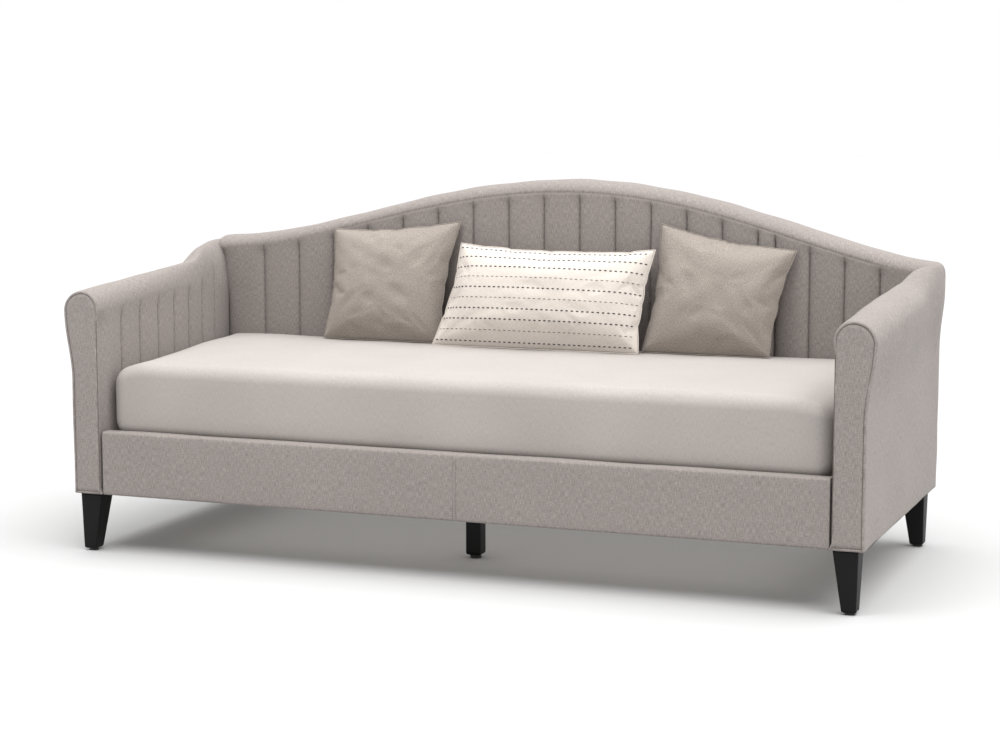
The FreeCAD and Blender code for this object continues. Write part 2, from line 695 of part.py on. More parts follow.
back_bolts = group("back_bolts_all", *(
    back_bolt(f"back_bolt_{side}_{number}", side, height)
    for side in both_sides for number, height in enumerate(bolt_heights)))
bolt_ways = group("bolt_ways", *(
    rod(f"bolt_way_{side}_{number}", d.bolt_radius + d.bolt_clearance,
        (side * back_bolt_x, back_bolt_start, height), back_bolt_length, "y")
    for side in both_sides for number, height in enumerate(bolt_heights)))
back_inner_cover = cut("back_inner_cover", back_inner_cover, bolt_ways)
back_foam = cut("back_foam", back_foam, bolt_ways)
back_board = cut("back_board", back_board, bolt_ways)
back_posts = cut("back_posts", back_posts, bolt_ways)


# ---- mattress and pillows -----------------------------------------------------------------

mattress_y = (rail_back + d.mattress_gap, rail_back + d.mattress_gap + d.mattress_width)
mattress_bottom = d.slat_top + d.resting_gap
mattress_z = (mattress_bottom, mattress_bottom + d.mattress_height)


def mattress_block(name, inset):
    """The mattress as a block with round corners and a soft top and bottom edge."""
    half_length = d.mattress_length / 2 - inset
    block = box(f"{name}_block", (-half_length, half_length),
                (mattress_y[0] + inset, mattress_y[1] - inset),
                (mattress_z[0] + inset, mattress_z[1] - inset))
    corners = rounded(f"{name}_corners", block, d.mattress_corner - inset, is_upright)
    return rounded(name, corners, d.mattress_edge - inset,
                   lambda edge: not is_upright(edge))


mattress_outer = mattress_block("mattress_outer", Size(0))
mattress_cover = cut("mattress_cover", mattress_outer,
                     mattress_block("mattress_hollow", d.mattress_cloth))
mattress_core = mattress_block("mattress_core", d.mattress_cloth + d.cloth_gap)


def lens_outline(name, half_width, half_middle, half_edge):
    """A lens lying in XY: two shallow arcs that leave a thin edge at each end."""
    sketch = document.addObject("Sketcher::SketchObject", name)
    corners = [(-half_width, -half_edge), (half_width, -half_edge),
               (half_width, half_edge), (-half_width, half_edge)]
    sag = half_middle - half_edge
    radius = (half_width * half_width + sag * sag) / (sag * 2)
    for index in range(4):
        start, end = corners[index], corners[(index + 1) % 4]
        if index % 2:
            line = Part.LineSegment(FreeCAD.Vector(*map(float, start), 0),
                                    FreeCAD.Vector(*map(float, end), 0))
            sketch.addGeometry(line, False)
            continue
        centre = arc_centre(start, end, float(radius))
        angles = [math.atan2(point[1] - centre[1], point[0] - centre[0]) for point in (start, end)]
        circle = Part.Circle(FreeCAD.Vector(*centre, 0), FreeCAD.Vector(0, 0, 1), float(radius))
        sketch.addGeometry(Part.ArcOfCircle(circle, *angles), False)
        number = sketch.addConstraint(Sketcher.Constraint("Radius", index, float(radius)))
        sketch.setExpression(f"Constraints[{number}]", radius.formula)
    for index, corner in enumerate(corners):
        sketch.addConstraint(Sketcher.Constraint("Coincident", index, 2, (index + 1) % 4, 1))
        for kind, place in zip(("DistanceX", "DistanceY"), corner):
            number = sketch.addConstraint(Sketcher.Constraint(kind, -1, 1, index, 1, float(place)))
            sketch.setExpression(f"Constraints[{number}]", place.formula)
    return sketch


def lens_bar(name, half_width, half_middle, half_edge, half_length):
    """A lens pulled both ways along the direction it faces."""
    bar = document.addObject("Part::Extrusion", name)
    bar.Base = lens_outline(f"{name}_outline", half_width, half_middle, half_edge)
    bar.Dir = FreeCAD.Vector(0, 0, 1)
    bar.DirMode = "Custom"
    bar.Solid = True
    bind(bar, LengthFwd=half_length, LengthRev=half_length)
    return bar


def cushion(name, width, height, thickness, inset):
    """A knife-edge pillow standing in XZ about the origin: two crossed lenses."""
    half_width, half_height = width / 2 - inset, height / 2 - inset
    half_middle, half_edge = thickness / 2 - inset, d.pillow_edge / 2 - inset
    across = lens_bar(f"{name}_across", half_width, half_middle, half_edge, half_height)
    upright = lens_bar(f"{name}_upright", half_height, half_middle, half_edge, half_width)
    turn(upright, (0, 1, 0), 90)
    return common(name, across, upright)


def pillow(side, width, height, thickness, x, y, turned):
    """A pillow's cover and the insert inside it, leaning back with its low corner just clear."""
    corner_drop = height / 2 * cosine(turned) + width / 2 * sine(turned)
    if float(turned) < 0:
        corner_drop = height / 2 * cosine(turned) - width / 2 * sine(turned)
    edge_drop = corner_drop * cosine(d.pillow_lean) + d.pillow_edge / 2 * sine(d.pillow_lean)
    middle_z = mattress_z[1] + d.resting_gap + edge_drop
    outer = cushion(f"{side}_pillow_shape", width, height, thickness, Size(0))
    hollow = cushion(f"{side}_pillow_hollow", width, height, thickness, d.pillow_cloth)
    cover = cut(f"{side}_pillow_cover_flat", outer, hollow)
    insert = cushion(f"{side}_pillow_insert_flat", width, height, thickness,
                     d.pillow_cloth + d.cloth_gap)
    lean = FreeCAD.Rotation(FreeCAD.Vector(1, 0, 0), -float(d.pillow_lean))
    spin = FreeCAD.Rotation(FreeCAD.Vector(0, 1, 0), float(turned))
    pieces = []
    for label, flat in ((f"{side}_pillow_cover", cover), (f"{side}_pillow_insert", insert)):
        placed = document.addObject("Part::Compound", label)
        placed.Links = [flat]
        placed.Placement.Rotation = lean * spin
        put(placed, x, y, middle_z)
        pieces.append(placed)
    return pieces


left_cover, left_insert = pillow(
    "left", d.square_width, d.square_height, d.square_thickness, d.left_pillow_x, d.square_y,
    -d.square_turn)
middle_cover, middle_insert = pillow(
    "middle", d.lumbar_width, d.lumbar_height, d.lumbar_thickness, d.lumbar_x, d.lumbar_y,
    d.lumbar_turn)
right_cover, right_insert = pillow(
    "right", d.square_width, d.square_height, d.square_thickness, d.right_pillow_x, d.square_y,
    d.square_turn)


# ---- what is written out ------------------------------------------------------------------

subparts = {
    "back_inner_cover": back_inner_cover, "back_border": back_border,
    "back_outer_cover": back_outer_cover, "back_foam": back_foam, "back_board": back_board,
    "back_posts": back_posts, "back_seat_rails": back_seat_rails,
    "back_top_rail": back_top_rail, "back_dust_cover": back_dust_cover,
    "front_rail_cover": front_rail_cover, "front_rail_padding": front_rail_padding,
    "front_rail_board": front_rail_board, "front_ledge": front_ledge, "rear_ledge": rear_ledge,
    "slats": slats, "slat_straps": slat_straps, "slat_screws": slat_screws,
    "centre_beam": centre_beam, "beam_brackets": beam_brackets, "centre_leg": centre_leg,
    "foot_insert": foot_insert, "foot_stem": foot_stem, "foot_pad": foot_pad,
    "front_right_leg": front_right_leg, "rear_right_leg": rear_right_leg,
    "front_left_leg": mirrored("front_left_leg", front_right_leg),
    "rear_left_leg": mirrored("rear_left_leg", rear_right_leg),
    "leg_glides": leg_glides, "leg_bolts": leg_bolts, "leg_nuts": leg_nuts,
    "rail_brackets": rail_brackets, "bracket_bolts": bracket_bolts, "back_bolts": back_bolts,
    "mattress_cover": mattress_cover, "mattress_core": mattress_core,
    "left_pillow_cover": left_cover, "left_pillow_insert": left_insert,
    "middle_pillow_cover": middle_cover, "middle_pillow_insert": middle_insert,
    "right_pillow_cover": right_cover, "right_pillow_insert": right_insert,
}
arm_pieces = {
    "arm_cover": arm_cover, "arm_facing": arm_facing, "facing_welt": facing_welt,
    "arm_posts": arm_posts, "arm_rails": arm_rails, "arm_board": arm_board,
    "arm_pad": arm_pad, "arm_roll": arm_roll, "arm_dust_cover": arm_dust_cover,
}
for label, piece in arm_pieces.items():
    subparts[f"right_{label}"] = piece
    subparts[f"left_{label}"] = mirrored(f"left_{label}", piece)

document.recompute()
for label, piece in subparts.items():
    piece.Label = label

for item in document.Objects:
    if {"Invalid", "Error"} & set(item.State):
        raise RuntimeError(f"{item.Name} failed: {item.State}")
for label, piece in subparts.items():
    if piece.Shape.isNull() or not piece.Shape.isValid() or not piece.Shape.Solids:
        raise RuntimeError(f"{label} has no valid solid")

os.makedirs("parts", exist_ok=True)
for label, piece in subparts.items():
    piece.Shape.exportStep(f"parts/{label}.step")
    bounds = piece.Shape.BoundBox
    print(f"{label}: {len(piece.Shape.Solids)} solids, {piece.Shape.Volume / MM3_PER_LITRE:.3f} litres, "
          f"x {bounds.XMin:.1f}..{bounds.XMax:.1f} y {bounds.YMin:.1f}..{bounds.YMax:.1f} "
          f"z {bounds.ZMin:.1f}..{bounds.ZMax:.1f}")
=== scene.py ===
"""Visual model of an upholstered daybed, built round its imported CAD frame.

The daybed has a camel back and scrolled arms sewn in upright channels, a plain front rail, four
tapered lacquered legs, a slatted base on a centre leg, a loose mattress and three scatter
pillows. Lengths are metres in the frame's own axes: +X to the right arm, the open front faces
-Y, +Z up, floor at zero. Every cloth surface is a grid worked out with numpy, and the pillows
are blown up by a short cloth simulation.
"""

from __future__ import annotations

import json
import logging
import math
from dataclasses import dataclass, field
from enum import Enum

import bmesh
import bpy
import numpy as np
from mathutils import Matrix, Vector

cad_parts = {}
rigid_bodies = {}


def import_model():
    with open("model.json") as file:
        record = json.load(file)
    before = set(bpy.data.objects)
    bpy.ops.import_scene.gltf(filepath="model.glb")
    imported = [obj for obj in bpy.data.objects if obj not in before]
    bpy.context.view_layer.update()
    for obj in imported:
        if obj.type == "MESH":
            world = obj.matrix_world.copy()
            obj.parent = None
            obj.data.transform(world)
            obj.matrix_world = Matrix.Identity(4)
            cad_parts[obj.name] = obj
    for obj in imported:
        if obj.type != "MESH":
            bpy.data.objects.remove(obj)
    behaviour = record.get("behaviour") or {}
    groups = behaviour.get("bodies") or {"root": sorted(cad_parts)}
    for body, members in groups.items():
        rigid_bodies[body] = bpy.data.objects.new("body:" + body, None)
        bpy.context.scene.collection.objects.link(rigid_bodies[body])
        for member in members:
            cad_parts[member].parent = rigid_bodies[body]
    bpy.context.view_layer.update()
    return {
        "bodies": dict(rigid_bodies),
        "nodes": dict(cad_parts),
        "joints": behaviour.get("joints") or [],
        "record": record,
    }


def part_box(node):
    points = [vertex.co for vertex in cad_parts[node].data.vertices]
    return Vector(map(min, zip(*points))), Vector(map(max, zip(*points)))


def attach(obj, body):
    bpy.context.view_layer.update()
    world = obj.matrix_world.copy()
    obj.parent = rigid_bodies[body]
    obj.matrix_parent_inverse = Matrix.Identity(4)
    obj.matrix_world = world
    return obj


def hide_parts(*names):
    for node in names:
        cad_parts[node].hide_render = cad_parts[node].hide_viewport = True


logging.basicConfig(level=logging.INFO, format="%(message)s")
log = logging.getLogger("daybed")

Array = np.ndarray
MM = 0.001


# ---- curves and grids ----------------------------------------------------------------------

def smoothstep(value: Array, low: float, high: float) -> Array:
    """Ease from 0 at low to 1 at high along 3t^2 - 2t^3.

    Args:
        value: Where to read the ease.
        low: Value at which it starts.
        high: Value at which it ends.

    Returns:
        The eased share, from 0 to 1.
    """
    share = np.clip((np.asarray(value, float) - low) / (high - low), 0.0, 1.0)
    return share * share * (3.0 - 2.0 * share)


def run_length(points: Array) -> Array:
    """Distance travelled along a line of points, starting at 0."""
    steps = np.linalg.norm(np.diff(points, axis=0), axis=1)
    return np.concatenate([[0.0], np.cumsum(steps)])


def even(points: Array, count: int) -> Array:
    """The same line with evenly spaced points, by linear interpolation on its run length.

    Args:
        points: The line's points.
        count: How many points it gets.

    Returns:
        The evenly spaced points, with the same two ends.
    """
    travelled = run_length(points)
    wanted = np.linspace(0.0, travelled[-1], count)
    return np.stack([np.interp(wanted, travelled, axis) for axis in points.T], axis=-1)


def soften(points: Array, reach: float) -> Array:
    """Round an open line's corners with a Gaussian average, mirroring the line beyond its ends.

    Args:
        points: Evenly spaced points.
        reach: The Gaussian's standard deviation.

    Returns:
        The softened points, as many as before, with the same two ends.
    """
    spacing = np.linalg.norm(points[1] - points[0])
    half = max(int(3 * reach / spacing), 1)
    offsets = np.arange(-half, half + 1)
    weights = np.exp(-0.5 * (offsets * spacing / reach) ** 2)
    before = 2 * points[0] - points[half:0:-1]
    after = 2 * points[-1] - points[-2:-half - 2:-1]
    padded = np.concatenate([before, points, after])
    index = np.arange(len(points))[:, None] + half + offsets
    return np.einsum("j,ijk->ik", weights / weights.sum(), padded[index])


def outward(loops: Array) -> Array:
    """Unit normals of closed anticlockwise loops: (dz, -dx) normalised.

    Args:
        loops: The loops, of (..., points, 2).

    Returns:
        The normals, in the same shape.
    """
    ahead = np.roll(loops, -1, axis=-2) - np.roll(loops, 1, axis=-2)
    normal = np.stack([ahead[..., 1], -ahead[..., 0]], axis=-1)
    return normal / np.linalg.norm(normal, axis=-1, keepdims=True)


def finish_mesh(mesh: bpy.types.Mesh, corner_uv: Array | None, closed: bool,
                turn: bool = True) -> None:
    """Give a mesh its cloth coordinates and smooth shading, and turn its faces outwards.

    Args:
        mesh: The mesh to finish.
        corner_uv: Cloth coordinates in metres for each face corner, or None.
        closed: Whether coincident points are welded, as at poles.
        turn: Whether to turn the faces; an almost flat case is already right.
    """
    if corner_uv is not None:
        layer = mesh.uv_layers.new(name="Weave")
        layer.data.foreach_set("uv", np.ascontiguousarray(corner_uv, np.float32).ravel())
    work = bmesh.new()
    work.from_mesh(mesh)
    if closed:
        bmesh.ops.remove_doubles(work, verts=work.verts, dist=0.02 * MM)
        bmesh.ops.dissolve_degenerate(work, edges=work.edges, dist=0.01 * MM)
    if turn:
        bmesh.ops.recalc_face_normals(work, faces=work.faces)
    work.to_mesh(mesh)
    work.free()
    mesh.polygons.foreach_set("use_smooth", np.ones(len(mesh.polygons), bool))
    mesh.update()


def placed(name: str, data: bpy.types.ID) -> bpy.types.Object:
    """A new object, linked into the scene.

    Args:
        name: The object's name.
        data: Its mesh, lamp or camera.

    Returns:
        The new object.
    """
    item = bpy.data.objects.new(name, data)
    bpy.context.scene.collection.objects.link(item)
    return item


def mesh_object(name: str, vertices: Array, faces: list[list[int]], corner_uv: Array | None = None,
                closed: bool = False, turn: bool = True) -> bpy.types.Object:
    """An object with a finished mesh of its own.

    Args:
        name: The object's name, and its mesh's.
        vertices: Points of (count, 3).
        faces: Vertex numbers of each face.
        corner_uv: Cloth coordinates for each face corner, or None.
        closed: Whether coincident points are welded.
        turn: Whether the faces are turned outwards.

    Returns:
        The new object.
    """
    mesh = bpy.data.meshes.new(name)
    mesh.from_pydata(vertices.tolist(), [], faces)
    finish_mesh(mesh, corner_uv, closed, turn)
    return placed(name, mesh)


def grid_object(name: str, points: Array, uv: Array, wrap: bool = True,
                capped: bool = True) -> bpy.types.Object:
    """An object whose faces join a grid of points row by row.

    Args:
        name: The object's name.
        points: Grid of (rows, columns, 3).
        uv: Cloth coordinates of (rows, columns, 2), with one column more when wrap is set.
        wrap: Whether the last column joins the first.
        capped: Whether the first and last rows are closed by a fan to their middle.

    Returns:
        The new object.
    """
    rows, columns = points.shape[:2]
    row, column = np.meshgrid(np.arange(rows - 1), np.arange(columns if wrap else columns - 1),
                              indexing="ij")
    following = (column + 1) % columns
    quads = np.stack([row * columns + column, row * columns + following,
                      (row + 1) * columns + following, (row + 1) * columns + column], axis=-1)
    quads = quads.reshape(-1, 4)
    corner_uv = np.stack([uv[row, column], uv[row, column + 1],
                          uv[row + 1, column + 1], uv[row + 1, column]], axis=-2).reshape(-1, 2)
    vertices = points.reshape(-1, 3)
    faces = quads.tolist()
    if capped:
        middles = np.stack([points[0].mean(axis=0), points[-1].mean(axis=0)])
        vertices = np.concatenate([vertices, middles])
        ring = np.arange(columns)
        beside = (ring + 1) % columns
        for end, base in enumerate((0, (rows - 1) * columns)):
            pole = np.full(columns, rows * columns + end)
            fan = np.stack([base + ring, base + beside, pole], axis=-1)
            faces += fan.tolist()
            edge_row = (0, rows - 1)[end]
            edge_uv = uv[edge_row]
            middle_uv = np.broadcast_to(edge_uv.mean(axis=0), (columns, 2))
            fan_uv = np.stack([edge_uv[ring], edge_uv[ring + (1 if wrap else 0)], middle_uv], axis=-2)
            corner_uv = np.concatenate([corner_uv, fan_uv.reshape(-1, 2)])
    return mesh_object(name, vertices, faces, corner_uv, closed=capped)


def joined(name: str, items: list[bpy.types.Object]) -> bpy.types.Object:
    """One object made of several, which are removed.

    Args:
        name: The new object's name.
        items: The objects to join, with untouched transforms.

    Returns:
        The joined object.
    """
    work = bmesh.new()
    for item in items:
        work.from_mesh(item.data)
    mesh = bpy.data.meshes.new(name)
    work.to_mesh(mesh)
    work.free()
    mesh.polygons.foreach_set("use_smooth", np.ones(len(mesh.polygons), bool))
    for item in items:
        bpy.data.meshes.remove(item.data)
    return placed(name, mesh)


def tube(name: str, path: Array, radius: float, closed: bool, sides: int = 8) -> bpy.types.Object:
    """A round cord along a path: each point p carries a ring p + r (cos a A + sin a B).

    Args:
        name: The object's name.
        path: Points of (count, 3).
        radius: The cord's radius.
        closed: Whether the path runs round to its start.
        sides: Corners of the ring.

    Returns:
        The new object.
    """
    beyond = np.roll(path, -1, axis=0) - np.roll(path, 1, axis=0)
    ahead = beyond if closed else np.gradient(path, axis=0)
    ahead /= np.linalg.norm(ahead, axis=1, keepdims=True)
    mean_normal = np.linalg.svd(path - path.mean(axis=0))[2][2]
    side = np.cross(ahead, mean_normal)
    side /= np.linalg.norm(side, axis=1, keepdims=True)
    other = np.cross(ahead, side)
    angle = np.linspace(0, 2 * math.pi, sides, endpoint=False)
    rings = (path[:, None] + radius * (np.cos(angle)[None, :, None] * side[:, None]
                                       + np.sin(angle)[None, :, None] * other[:, None]))
    if closed:
        rings = np.concatenate([rings, rings[:1]])
        path = np.concatenate([path, path[:1]])
    along_v = np.broadcast_to(run_length(path)[:, None], (len(path), sides + 1))
    around_u = np.broadcast_to(np.linspace(0, 2 * math.pi * radius, sides + 1), along_v.shape)
    item = grid_object(name, rings, np.stack([around_u, along_v], axis=-1), capped=not closed)
    if closed:
        finish_mesh(item.data, None, closed=True)
    return item


def stitches(name: str, path: Array, stitch: float, gap: float, radius: float) -> bpy.types.Object:
    """A row of short raised threads along a path.

    Each stitch is a spindle of four rings whose radius is 0, r, r, 0.

    Args:
        name: The object's name.
        path: Points of (count, 3) that the thread follows.
        stitch: Length of one stitch.
        gap: Length hidden between stitches.
        radius: Half the thread's thickness.

    Returns:
        The new object.
    """
    travelled = run_length(path)
    starts = np.arange(gap / 2, travelled[-1] - stitch, stitch + gap)
    sides, stations = 6, np.array([0.0, 0.25, 0.75, 1.0])
    swell = np.array([0.35, 1.0, 1.0, 0.35]) * radius
    places = starts[:, None] + stations * stitch
    spine = np.stack([np.interp(places, travelled, axis) for axis in path.T], axis=-1)
    ahead = spine[:, -1] - spine[:, 0]
    ahead /= np.linalg.norm(ahead, axis=1, keepdims=True)
    side = np.cross(ahead, np.where(np.abs(ahead[:, 1:2]) > 0.9, [[1.0, 0, 0]], [[0, 1.0, 0]]))
    side /= np.linalg.norm(side, axis=1, keepdims=True)
    other = np.cross(ahead, side)
    angle = np.linspace(0, 2 * math.pi, sides, endpoint=False)
    ring = (np.cos(angle)[None, :, None] * side[:, None] + np.sin(angle)[None, :, None] * other[:, None])
    points = spine[:, :, None] + swell[None, :, None, None] * ring[:, None]
    count = len(starts)
    base = (np.arange(count) * 4 * sides)[:, None, None]
    level = (np.arange(3) * sides)[None, :, None]
    around = np.arange(sides)[None, None, :]
    beside = (around + 1) % sides
    quads = np.stack([base + level + around, base + level + beside,
                      base + level + sides + beside, base + level + sides + around], axis=-1)
    ends = np.concatenate([base[:, 0] + np.arange(sides), base[:, 0] + 3 * sides + np.arange(sides)])
    return mesh_object(name, points.reshape(-1, 3), quads.reshape(-1, 4).tolist() + ends.tolist())


def ripple(u: Array, v: Array, pitch: float, seed: int) -> Array:
    """Soft unevenness: a mean of six sines of u and v whose wavelengths lie about pitch.

    Args:
        u: First cloth coordinate.
        v: Second cloth coordinate.
        pitch: Typical wavelength.
        seed: Fixes the sines' directions and starts.

    Returns:
        Values from about -1 to 1.
    """
    draw = np.random.default_rng(seed)
    total = np.zeros(np.broadcast(u, v).shape)
    for _ in range(6):
        heading, start = draw.uniform(0, 2 * math.pi, 2)
        wave = 2 * math.pi / (pitch * draw.uniform(0.7, 1.5))
        total = total + np.sin(wave * (u * math.cos(heading) + v * math.sin(heading)) + start)
    return total / 3.0


# ---- finishes ------------------------------------------------------------------------------

def linear(colour: str) -> tuple[float, float, float, float]:
    """An sRGB hex colour, such as #A9A19B, as linear red, green, blue and alpha.

    Args:
        colour: The hex colour.

    Returns:
        Its linear values.
    """
    parts = [int(colour[start:start + 2], 16) / 255 for start in (1, 3, 5)]
    red, green, blue = (part / 12.92 if part <= 0.04045 else ((part + 0.055) / 1.055) ** 2.4
                        for part in parts)
    return red, green, blue, 1.0


def add(tree: bpy.types.NodeTree, kind: str, settings: dict[str, object] | None = None,
        **inputs: object) -> bpy.types.Node:
    """Add one shader node.

    Args:
        tree: The material's node tree.
        kind: The node's type name.
        settings: Attributes of the node itself.
        **inputs: Values or sockets for its inputs, with _ for a space; i0, i1 name them by place.

    Returns:
        The new node.
    """
    node = tree.nodes.new(kind)
    for name, value in (settings or {}).items():
        setattr(node, name, value)
    for name, value in inputs.items():
        place = int(name[1:]) if name[0] == "i" and name[1:].isdigit() else name.replace("_", " ")
        socket = node.inputs[place]
        if isinstance(value, bpy.types.NodeSocket):
            tree.links.new(value, socket)
        else:
            socket.default_value = value
    return node


def new_material(name: str) -> tuple[bpy.types.Material, bpy.types.NodeTree, bpy.types.Node]:
    """A fresh material.

    Args:
        name: The material's name.

    Returns:
        The material, its node tree and its Principled shader.
    """
    material = bpy.data.materials.new(name)
    material.use_nodes = True
    tree = material.node_tree
    return material, tree, next(node for node in tree.nodes if node.type == "BSDF_PRINCIPLED")


def ramp(tree: bpy.types.NodeTree, factor: bpy.types.NodeSocket,
         stops: list[tuple[float, str]]) -> bpy.types.NodeSocket:
    """A colour ramp.

    Args:
        tree: The material's node tree.
        factor: What the ramp reads, from 0 to 1.
        stops: Its (place, hex colour) stops.

    Returns:
        The ramp's colour.
    """
    node = add(tree, "ShaderNodeValToRGB", Fac=factor)
    elements = node.color_ramp.elements
    while len(elements) < len(stops):
        elements.new(0.5)
    for element, (place, colour) in zip(elements, stops):
        element.position = place
        element.color = linear(colour)
    return node.outputs["Color"]


def blend_value(tree: bpy.types.NodeTree, operation: str, *values: object) -> bpy.types.NodeSocket:
    """The result of one arithmetic step."""
    return add(tree, "ShaderNodeMath", {"operation": operation},
               **{f"i{place}": value for place, value in enumerate(values)}).outputs[0]


def set_inputs(shader: bpy.types.Node, **values: object) -> None:
    """Set constants on a node's own sockets.

    Args:
        shader: The node.
        **values: Each socket's value, its name with _ for a space.
    """
    for name, value in values.items():
        shader.inputs[name.replace("_", " ")].default_value = value


def coat(tree: bpy.types.NodeTree, shader: bpy.types.Node, colour: bpy.types.NodeSocket,
         height: bpy.types.NodeSocket, relief_mm: float, strength: float = 1.0) -> None:
    """Link a colour and a fine relief to the shader.

    Args:
        tree: The material's node tree.
        shader: Its Principled shader.
        colour: The base colour.
        height: Height of the relief, from 0 to 1.
        relief_mm: What a height of 1 stands for.
        strength: Share of the relief that shows.
    """
    tree.links.new(colour, shader.inputs["Base Color"])
    bump = add(tree, "ShaderNodeBump", Height=height, Distance=relief_mm * MM, Strength=strength)
    tree.links.new(bump.outputs["Normal"], shader.inputs["Normal"])


@dataclass(frozen=True)
class WovenCloth:
    """A piece-dyed or yarn-dyed plain weave.

    Yarns of uneven thickness and shade run both ways, so the eye sees short streaks along warp
    and weft, a fine grain where they cross, and a matt surface with a faint bloom at its edges.

    Attributes:
        name: The material's name.
        dark: Colour of the shaded yarns.
        middle: Colour of most of the cloth.
        light: Colour of the yarns that catch the light.
        yarn_mm: Spacing drawn for the yarns. Real linen is nearer 0.7 mm, which is finer than a
            render shows, so it is drawn as coarse as it needs to be seen.
        slub_mm: Length of a streak along one yarn.
        relief_mm: Height of the weave.
        bloom: Strength of the sheen.
        twill: Whether it is woven in broken diagonals, which show as small slanting ribs; the grooves
            between them are also darkened in the colour as painted shade.
    """

    name: str
    dark: str
    middle: str
    light: str
    yarn_mm: float = 1.5
    slub_mm: float = 22.0
    relief_mm: float = 0.3
    bloom: float = 0.08
    twill: bool = False

    def threads(self, tree: bpy.types.NodeTree) -> tuple[bpy.types.NodeSocket, bpy.types.NodeSocket]:
        """Streak value and weave height from the cloth coordinates.

        Args:
            tree: The material's node tree.

        Returns:
            A streak value from 0 to 1, which for a twill also carries painted shade in its grooves, and the
            weave's height from 0 to 1.
        """
        cloth = add(tree, "ShaderNodeUVMap", {"uv_map": "Weave"}).outputs["UV"]
        yarn, slub = 1 / (self.yarn_mm * MM), 1 / (self.slub_mm * MM)
        total = None
        for across, along, weight in ((yarn, slub, 1.2), (slub, yarn, 0.8), (yarn, yarn, 0.6)):
            turned = add(tree, "ShaderNodeMapping", Vector=cloth, Scale=(across, along, 1.0))
            noise = add(tree, "ShaderNodeTexNoise", Vector=turned.outputs["Vector"], Scale=1.0,
                        Detail=2.0, Roughness=0.55)
            total = blend_value(tree, "MULTIPLY_ADD", noise.outputs["Fac"], weight,
                                0.0 if total is None else total)
        streak = add(tree, "ShaderNodeMapRange", Value=total, From_Min=0.8, From_Max=1.8)
        height = self.weave(tree, cloth)
        if self.twill:
            # Painted shade: the rib height is added into the colour value, so the twill's grooves come out
            # darker.
            painted_rib_shade = blend_value(tree, "MULTIPLY", height, 0.5)
            return blend_value(tree, "MULTIPLY_ADD", streak.outputs["Result"], 0.6, painted_rib_shade), height
        return streak.outputs["Result"], height

    def weave(self, tree: bpy.types.NodeTree, cloth: bpy.types.NodeSocket) -> bpy.types.NodeSocket:
        """Height of the weave: crossed sines, or broken diagonals when it is a twill.

        Args:
            tree: The material's node tree.
            cloth: The cloth coordinates.

        Returns:
            The height, from 0 to 1.
        """
        if self.twill:
            scale = (1 / (self.yarn_mm * MM * 2), 1 / (self.yarn_mm * MM), 1.0)
            slanted = add(tree, "ShaderNodeMapping", Vector=cloth, Scale=scale,
                          Rotation=(0.0, 0.0, math.radians(35))).outputs["Vector"]
            brick = add(tree, "ShaderNodeTexBrick", Vector=slanted, Scale=1.0, Mortar_Size=0.16,
                        Mortar_Smooth=1.0, Brick_Width=1.0, Row_Height=0.5)
            return blend_value(tree, "SUBTRACT", 1.0, brick.outputs["Fac"])
        split = add(tree, "ShaderNodeSeparateXYZ", Vector=cloth)
        turn = math.pi / (self.yarn_mm * MM)
        waves = [blend_value(tree, "SINE", blend_value(tree, "MULTIPLY", split.outputs[axis], turn))
                 for axis in ("X", "Y")]
        crossed = blend_value(tree, "MULTIPLY", *waves)
        return blend_value(tree, "MULTIPLY_ADD", crossed, 0.5, 0.5)

    def build(self) -> bpy.types.Material:
        """Make the cloth's material.

        Returns:
            The material.
        """
        material, tree, shader = new_material(self.name)
        streak, height = self.threads(tree)
        colour = ramp(tree, streak, [(0.12, self.dark), (0.5, self.middle), (0.9, self.light)])
        shaded = self.overprint(tree, colour)
        relief = blend_value(tree, "MULTIPLY_ADD", streak, 0.6, height)
        coat(tree, shader, shaded, relief, self.relief_mm, strength=0.8)
        set_inputs(shader, Roughness=0.93, Specular_IOR_Level=0.15, Sheen_Weight=self.bloom,
                   Sheen_Roughness=0.55)
        return material

    def overprint(self, tree: bpy.types.NodeTree,
                  colour: bpy.types.NodeSocket) -> bpy.types.NodeSocket:
        """Large soft differences in shade over the whole piece, a few percent either way.

        Args:
            tree: The material's node tree.
            colour: The cloth's colour.

        Returns:
            The shaded colour.
        """
        place = add(tree, "ShaderNodeTexCoord").outputs["Object"]
        cloudy = add(tree, "ShaderNodeTexNoise", Vector=place, Scale=4.0, Detail=3.0)
        shade = add(tree, "ShaderNodeMapRange", Value=cloudy.outputs["Fac"], To_Min=0.93, To_Max=1.07)
        mixed = add(tree, "ShaderNodeVectorMath", {"operation": "SCALE"}, i0=colour,
                    Scale=shade.outputs["Result"])
        return mixed.outputs["Vector"]


